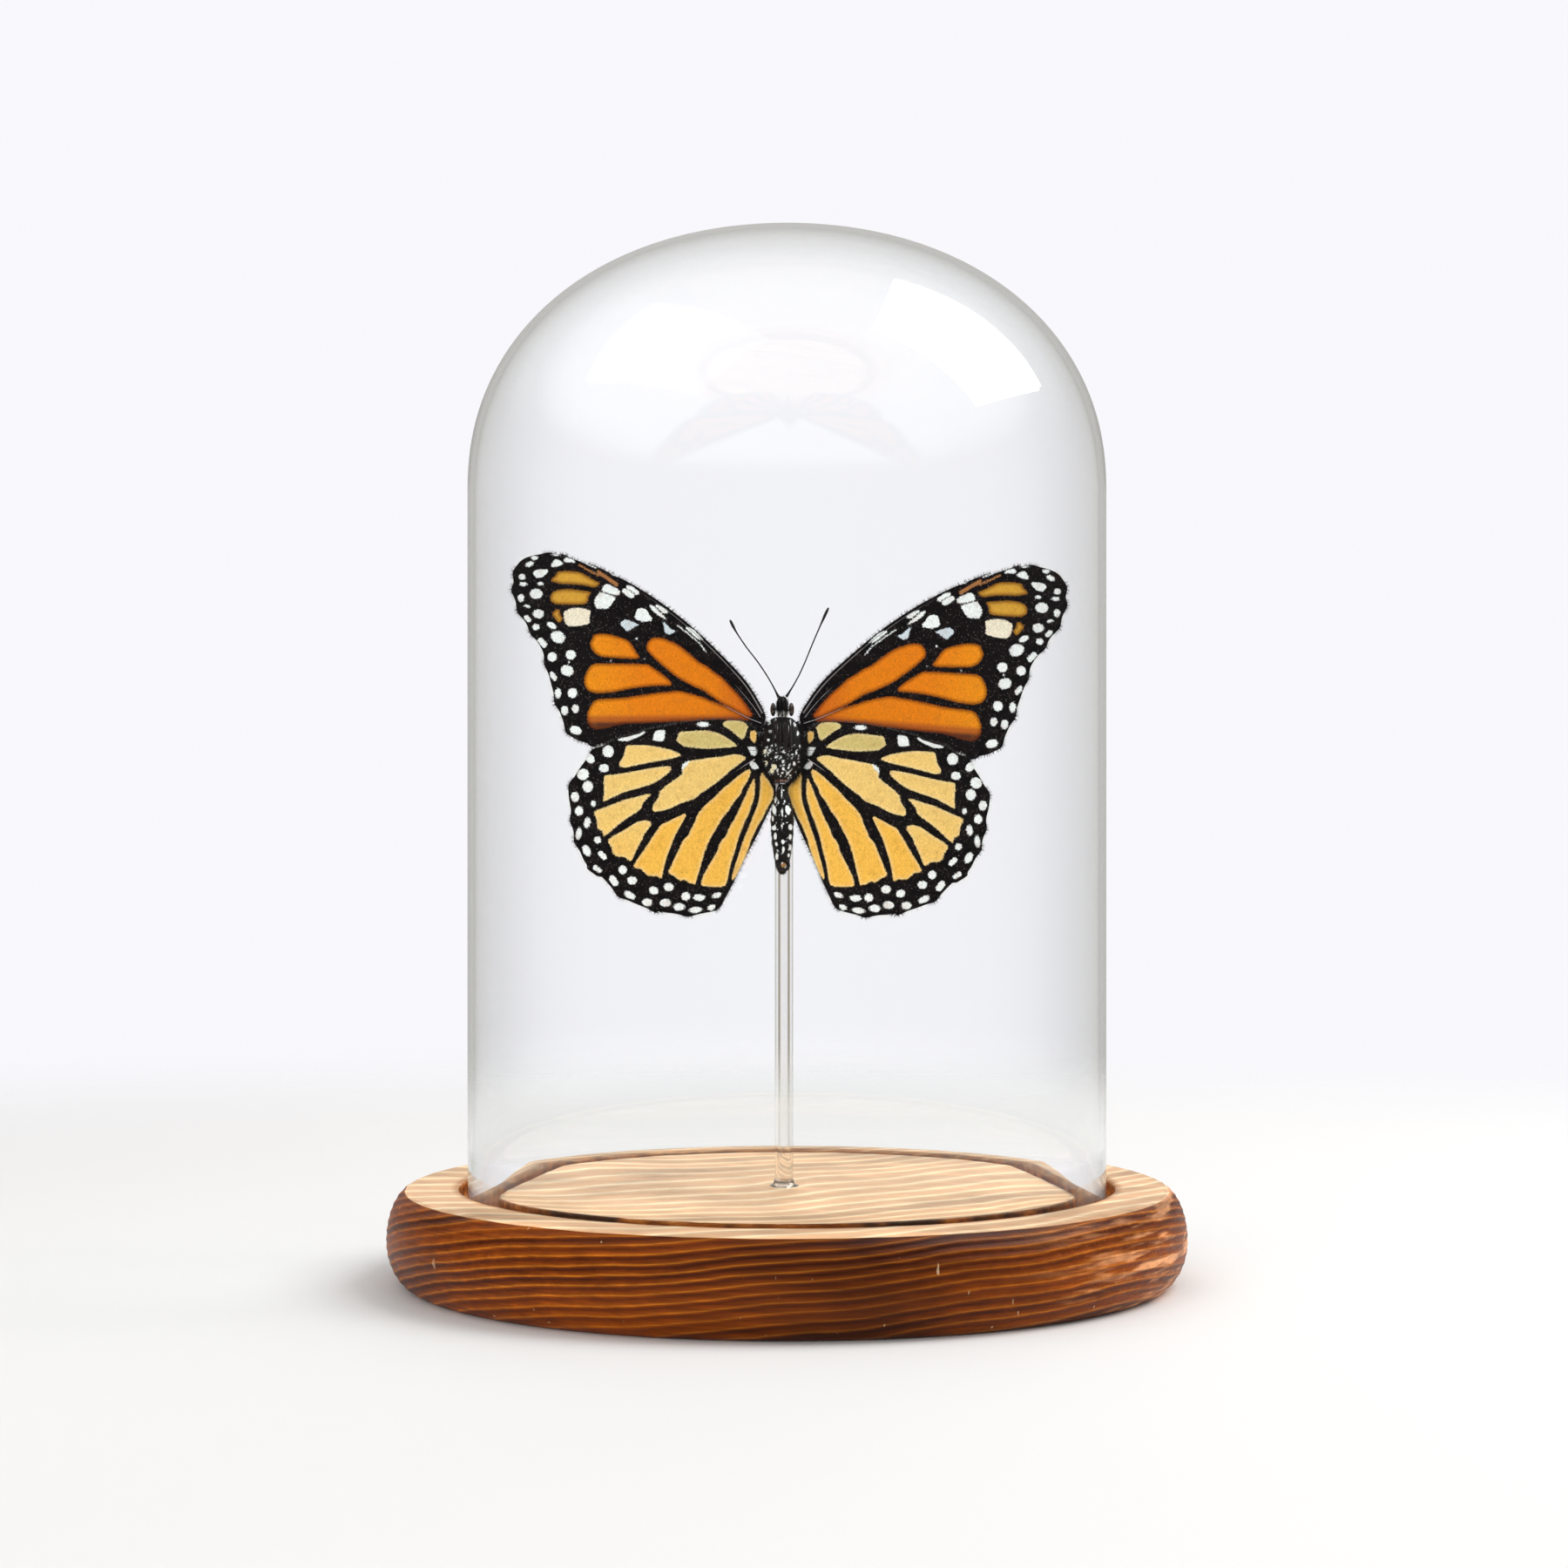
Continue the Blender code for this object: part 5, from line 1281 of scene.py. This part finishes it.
def body_cuticle_material():
    """Black cuticle with ragged pale tufts where the drawing says so."""
    material, tree, shader = new_material("black_cuticle")
    place = node(tree, "ShaderNodeTexCoord").outputs["Object"]
    fine = noise(tree, place, 3200, 3.0, 0.65)
    broad = noise(tree, place, 700, 2.0)
    depth = maths(tree, "ADD", attribute(tree, "depth"),
                  maths(tree, "MULTIPLY", maths(tree, "SUBTRACT", fine, 0.5), 0.35))
    dark = ramp(tree, broad, (0.35, (0.003, 0.0025, 0.003)), (0.7, (0.012, 0.009, 0.010)))
    dark = blend(tree, maths(tree, "MULTIPLY", step_between(tree, fine, 0.68, 0.74), 0.4), dark,
                 (0.30, 0.25, 0.24, 1))
    colour = blend(tree, step_between(tree, depth, -0.04, 0.06), dark, attribute(tree, "marking", "Color"))
    tree.links.new(colour, shader.inputs["Base Color"])
    tree.links.new(maths(tree, "MULTIPLY_ADD", fine, 0.3, 0.38), shader.inputs["Roughness"])
    shader.inputs["Specular IOR Level"].default_value = 0.2
    bump = node(tree, "ShaderNodeBump", {"Height": fine, "Strength": 0.6, "Distance": 0.00008})
    tree.links.new(bump.outputs[0], shader.inputs["Normal"])
    return material


black_cuticle = body_cuticle_material()
body_hair = cuticle_material("body_hair", (0.005, 0.004, 0.0045), (0.96, 0.96, 0.90), 0.5, 1500)
dots = np.random.default_rng(7)


def scattered_tufts(count, half_width, span, sizes):
    """Small white tufts at random places on a body, with random sizes and turns."""
    return [(WHITE, dots.uniform(-half_width, half_width), dots.uniform(*span), *dots.uniform(*sizes, 2),
             dots.uniform(0, 180)) for _ in range(count)]


small_tufts = scattered_tufts(SMALL_TUFTS, 3, (-3.6, 2.4), (.14, .34))
small_marks = scattered_tufts(SMALL_MARKS, 1.7, (-16.5, -5), (.12, .3))
# Hairs as (density a square metre, length, lean)
for word, sections, y, tufts, hairs in (
    ("thorax", THORAX_SECTIONS, THORAX_Y, THORAX_TUFTS + small_tufts, (0.9e7, 0.00040, (0, -0.1, -1.2))),
    ("abdomen", ABDOMEN_SECTIONS, ABDOMEN_Y, ABDOMEN_TUFTS + small_marks,
     (1.1e7, 0.00030, (0, -0.1, -1.8))),
    ("head", HEAD_SECTIONS, HEAD_Y, HEAD_TUFTS, (0.9e7, 0.00030, (0, -0.1, 0.9))),
):
    points, faces = body_grid(sections, y, BODY_SPANS[word], BODY_SIDES)
    drawn = np.stack([points[:, 0] - BODY_X, points[:, 2] - BODY_Z], 1) / MM
    if word == "abdomen":
        groove = np.abs(np.sin(math.pi * (drawn[:, 1] + 4.5) / ABDOMEN_RING)) ** 0.35
        points[:, 0] = BODY_X + (points[:, 0] - BODY_X) * (0.90 + 0.10 * groove)
        points[:, 1] = y + (points[:, 1] - y) * (0.90 + 0.10 * groove)
    else:
        lumps = 1 + 0.035 * np.sin(drawn[:, 0] * 2.3) * np.sin(drawn[:, 1] * 1.9 + 0.6)
        points[:, 1] = y + (points[:, 1] - y) * lumps
    body = mesh_object(f"{word}_cuticle", points, faces, black_cuticle)
    tufted(body, points, tufts, y)
    density, length, lean = hairs
    coat = grown(f"{word}_hairs", body, hair_coat, {
        "Density": density, "Length": length, "Width": 0.00003, "Spread": 0.45, "Bend": 0.25, "Lean": lean,
        "Seed": 5, "Finish": body_hair,
    }, keep=True)
    for piece in (body, coat):
        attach(piece, "root")
    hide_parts(word)


# Long dark hairs on the thorax's sides lie over the roots of the wings.
SIDE_SHARE = 0.82  # how far out a side begins, as a share of the half width
points, faces = body_grid(THORAX_SECTIONS, THORAX_Y, 4, 60)
widths = np.interp(points[:, 2], [BODY_Z + v * MM for v, _, _ in THORAX_SECTIONS],
                   [w * MM for _, w, _ in THORAX_SECTIONS])
outwards = (np.abs(points[:, 0] - BODY_X) > SIDE_SHARE * widths) & (points[:, 2] < BODY_Z + 6.0 * MM)
flank = mesh_object("thorax_flanks", points, [face for face in faces if outwards[face].all()])
store(flank, "pale", np.zeros(len(points)))
root_hairs = grown("wing_root_hairs", flank, hair_coat, {
    "Density": 3.2e7, "Length": 0.00085, "Width": 0.00006, "Spread": 0.5, "Bend": 0.3,
    "Lean": (0, 0.35, -0.25), "Seed": 23, "Finish": body_hair,
})
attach(root_hairs, "root")


# ---------------------------------------------------------------------------------------------
# Eyes and palps. The compound eyes are domes of fine dark facets, mottled brown. The palps are two short
# upright feelers between them, thickly haired.
EYE_SIDES = 56
PALP_SIDES = 36


def ellipsoid_grid(low, high, sides):
    """Points and faces of an ellipsoid that fills a box."""
    middle, half = (np.array(low) + np.array(high)) / 2, (np.array(high) - np.array(low)) / 2
    rises = [math.pi * i / (sides // 2) for i in range(1, sides // 2)]
    profile = [(0, -1)] + [(math.sin(a), -math.cos(a)) for a in rises] + [(0, 1)]
    points, faces = turned_grid(profile, sides)
    return middle + points * half, faces


def eye_material():
    """Facets packed like a honeycomb, dark brown with darker patches."""
    material, tree, shader = new_material("eye_shell")
    place = node(tree, "ShaderNodeTexCoord").outputs["Object"]
    facets = node(tree, "ShaderNodeTexVoronoi", {"Vector": place, "Scale": 9500.0, "Randomness": 0.25})
    patches = noise(tree, place, 1700, 3.0, 0.6)
    colour = ramp(tree, patches, (0.4, (0.010, 0.007, 0.007)), (0.56, (0.045, 0.027, 0.02)),
                  (0.68, (0.07, 0.045, 0.038)))
    tree.links.new(colour, shader.inputs["Base Color"])
    tree.links.new(maths(tree, "MULTIPLY_ADD", patches, 0.2, 0.14), shader.inputs["Roughness"])
    shader.inputs["Coat Weight"].default_value = 0.3
    bump = node(tree, "ShaderNodeBump",
                {"Height": facets.outputs["Distance"], "Strength": 0.5, "Distance": 0.00003}, invert=True)
    tree.links.new(bump.outputs[0], shader.inputs["Normal"])
    return material


eye_shell = eye_material()
for word in ("left", "right"):
    eye_points, eye_faces = ellipsoid_grid(*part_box(f"eye_{word}"), EYE_SIDES)
    eye = mesh_object(f"eye_{word}_faceted", eye_points, eye_faces, eye_shell)
    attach(eye, "root")
    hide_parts(f"eye_{word}")
    palp_points, palp_faces = ellipsoid_grid(*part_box(f"palp_{word}"), PALP_SIDES)
    palp = mesh_object(f"palp_{word}_core", palp_points, palp_faces, black_cuticle)
    store(palp, "depth", np.full(len(palp_points), -1.0))
    store(palp, "marking", np.ones((len(palp_points), 4)), "FLOAT_COLOR")
    store(palp, "pale", np.where(palp_points[:, 2] < palp_points[:, 2].mean() - 0.0006, 0.8, 0.0))
    palp_coat = grown(f"palp_{word}_hairs", palp, hair_coat, {
        "Density": 6.0e7, "Length": 0.00052, "Width": 0.000028, "Spread": 0.3, "Bend": 0.2,
        "Lean": (0, -0.4, 1.4), "Seed": 9, "Finish": body_hair,
    }, keep=True)
    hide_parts(f"palp_{word}")
    for piece in (palp, palp_coat):
        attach(piece, "root")


# ---------------------------------------------------------------------------------------------
# Antennae, legs, proboscis and claspers. Thin tubes of black cuticle: the antennae in short ringed segments
# ending in a club, the legs folded flat on the thorax with finely jointed feet, the proboscis coiled.
ANTENNA_ROUTES = {  # (u, y, v) in millimetres
    "left": [(.6, -7.2, 10.2), (2, -7.4, 12.9), (4, -7.5, 16), (6, -7.5, 18.6), (7.5, -7.5, 20.8),
             (8.3, -7.5, 22.2), (8.85, -7.5, 23.35)],
    "right": [(.7, -7.2, 10.3), (2.4, -7.4, 13.1), (3.7, -7.5, 15.8), (5.1, -7.5, 19.2), (6.3, -7.5, 22),
              (7.1, -7.5, 23.8), (7.85, -7.5, 25.4)],
}
LEG_ROUTES = {
    "mid_leg": [(1.35, -9.95, 1.2), (1.45, -9.85, 3), (1.3, -9.55, 5), (1.12, -9.6, 6.1),
                (.95, -10.15, 5.9), (.95, -10.55, 4), (.95, -10.7, 2.4)],
    "hind_leg": [(.62, -10, .9), (.62, -10.05, 2.6), (.6, -9.75, 4.7), (.5, -9.6, 5.7), (.36, -10.15, 5.5),
                 (.36, -10.6, 3.8), (.38, -10.75, 1.8)],
}
ANTENNA_RADIUS = 0.12
LEG_RADIUS = 0.20
LIMB_SIDES = 10
LIMB_STEP = 0.00008
PROBOSCIS_CENTRE = (-10.35, 7.2)  # y and v
CLASPER = (0.20, -18.3, 0.90)  # u, v and radius


def body_line(route, side):
    line = np.array(route, float)
    return np.stack([BODY_X + side * line[:, 0] * MM, line[:, 1] * MM, BODY_Z + line[:, 2] * MM], 1)


def limb(name, route, radii, side, joint_spacing, joint_depth, replaced=None):
    line = smooth_curve(route, 8, closed=False)
    share = np.linspace(0, 1, len(line))
    thick = np.interp(share, np.linspace(0, 1, len(radii)), radii) * MM
    carrier = curve_carrier("limb_route", [(body_line(line, side), thick, np.zeros(len(line)))])
    piece = grown(name, carrier, jointed_tube, {
        "Step": LIMB_STEP, "Sides": LIMB_SIDES, "Joint Spacing": joint_spacing, "Joint Depth": joint_depth,
        "Finish": limb_cuticle,
    })
    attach(piece, "root")
    if replaced:
        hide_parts(replaced)


limb_cuticle = cuticle_material("limb_cuticle", (0.018, 0.014, 0.015), (0.7, 0.68, 0.62), 0.3, 2600)
antenna_swell = [2.4, 1.25, 1, 1, 1, 1, 1, 1, 1, 1.1, 1.5, 2.1, 2.0, 1.2]
for side, word in ((-1, "left"), (1, "right")):
    limb(f"antenna_{word}_ringed", ANTENNA_ROUTES[word], [ANTENNA_RADIUS * s for s in antenna_swell], side,
         0.00038, 0.11, f"antenna_{word}")
    for pair, route in LEG_ROUTES.items():
        swell = [1.2, 1.1, 0.95, 0.8, 0.85, 0.7, 0.55, 0.5]
        limb(f"{pair}_{word}_folded", route, [LEG_RADIUS * s for s in swell], side, 0.0011, 0.10,
             f"{pair}_{word}")
    clasper = [(side * CLASPER[0] + CLASPER[2] * math.sin(a), ABDOMEN_Y / MM - 0.95,
                CLASPER[1] - CLASPER[2] * math.cos(a))
               for a in np.linspace(0.0, math.pi - 0.3, 9)]
    limb(f"clasper_{word}", clasper, [0.2, 0.28, 0.26, 0.16], side, 0.0006, 0.08)
coil = [(0, PROBOSCIS_CENTRE[0] + r * math.cos(a), PROBOSCIS_CENTRE[1] + r * math.sin(a))
        for r, a in zip(np.linspace(0.22, 0.78, 26), np.linspace(0, 2 * math.pi * 2.1, 26))]
limb("proboscis_coiled", coil, [0.07, 0.1, 0.11, 0.11], 1, 0.0002, 0.08, "proboscis")
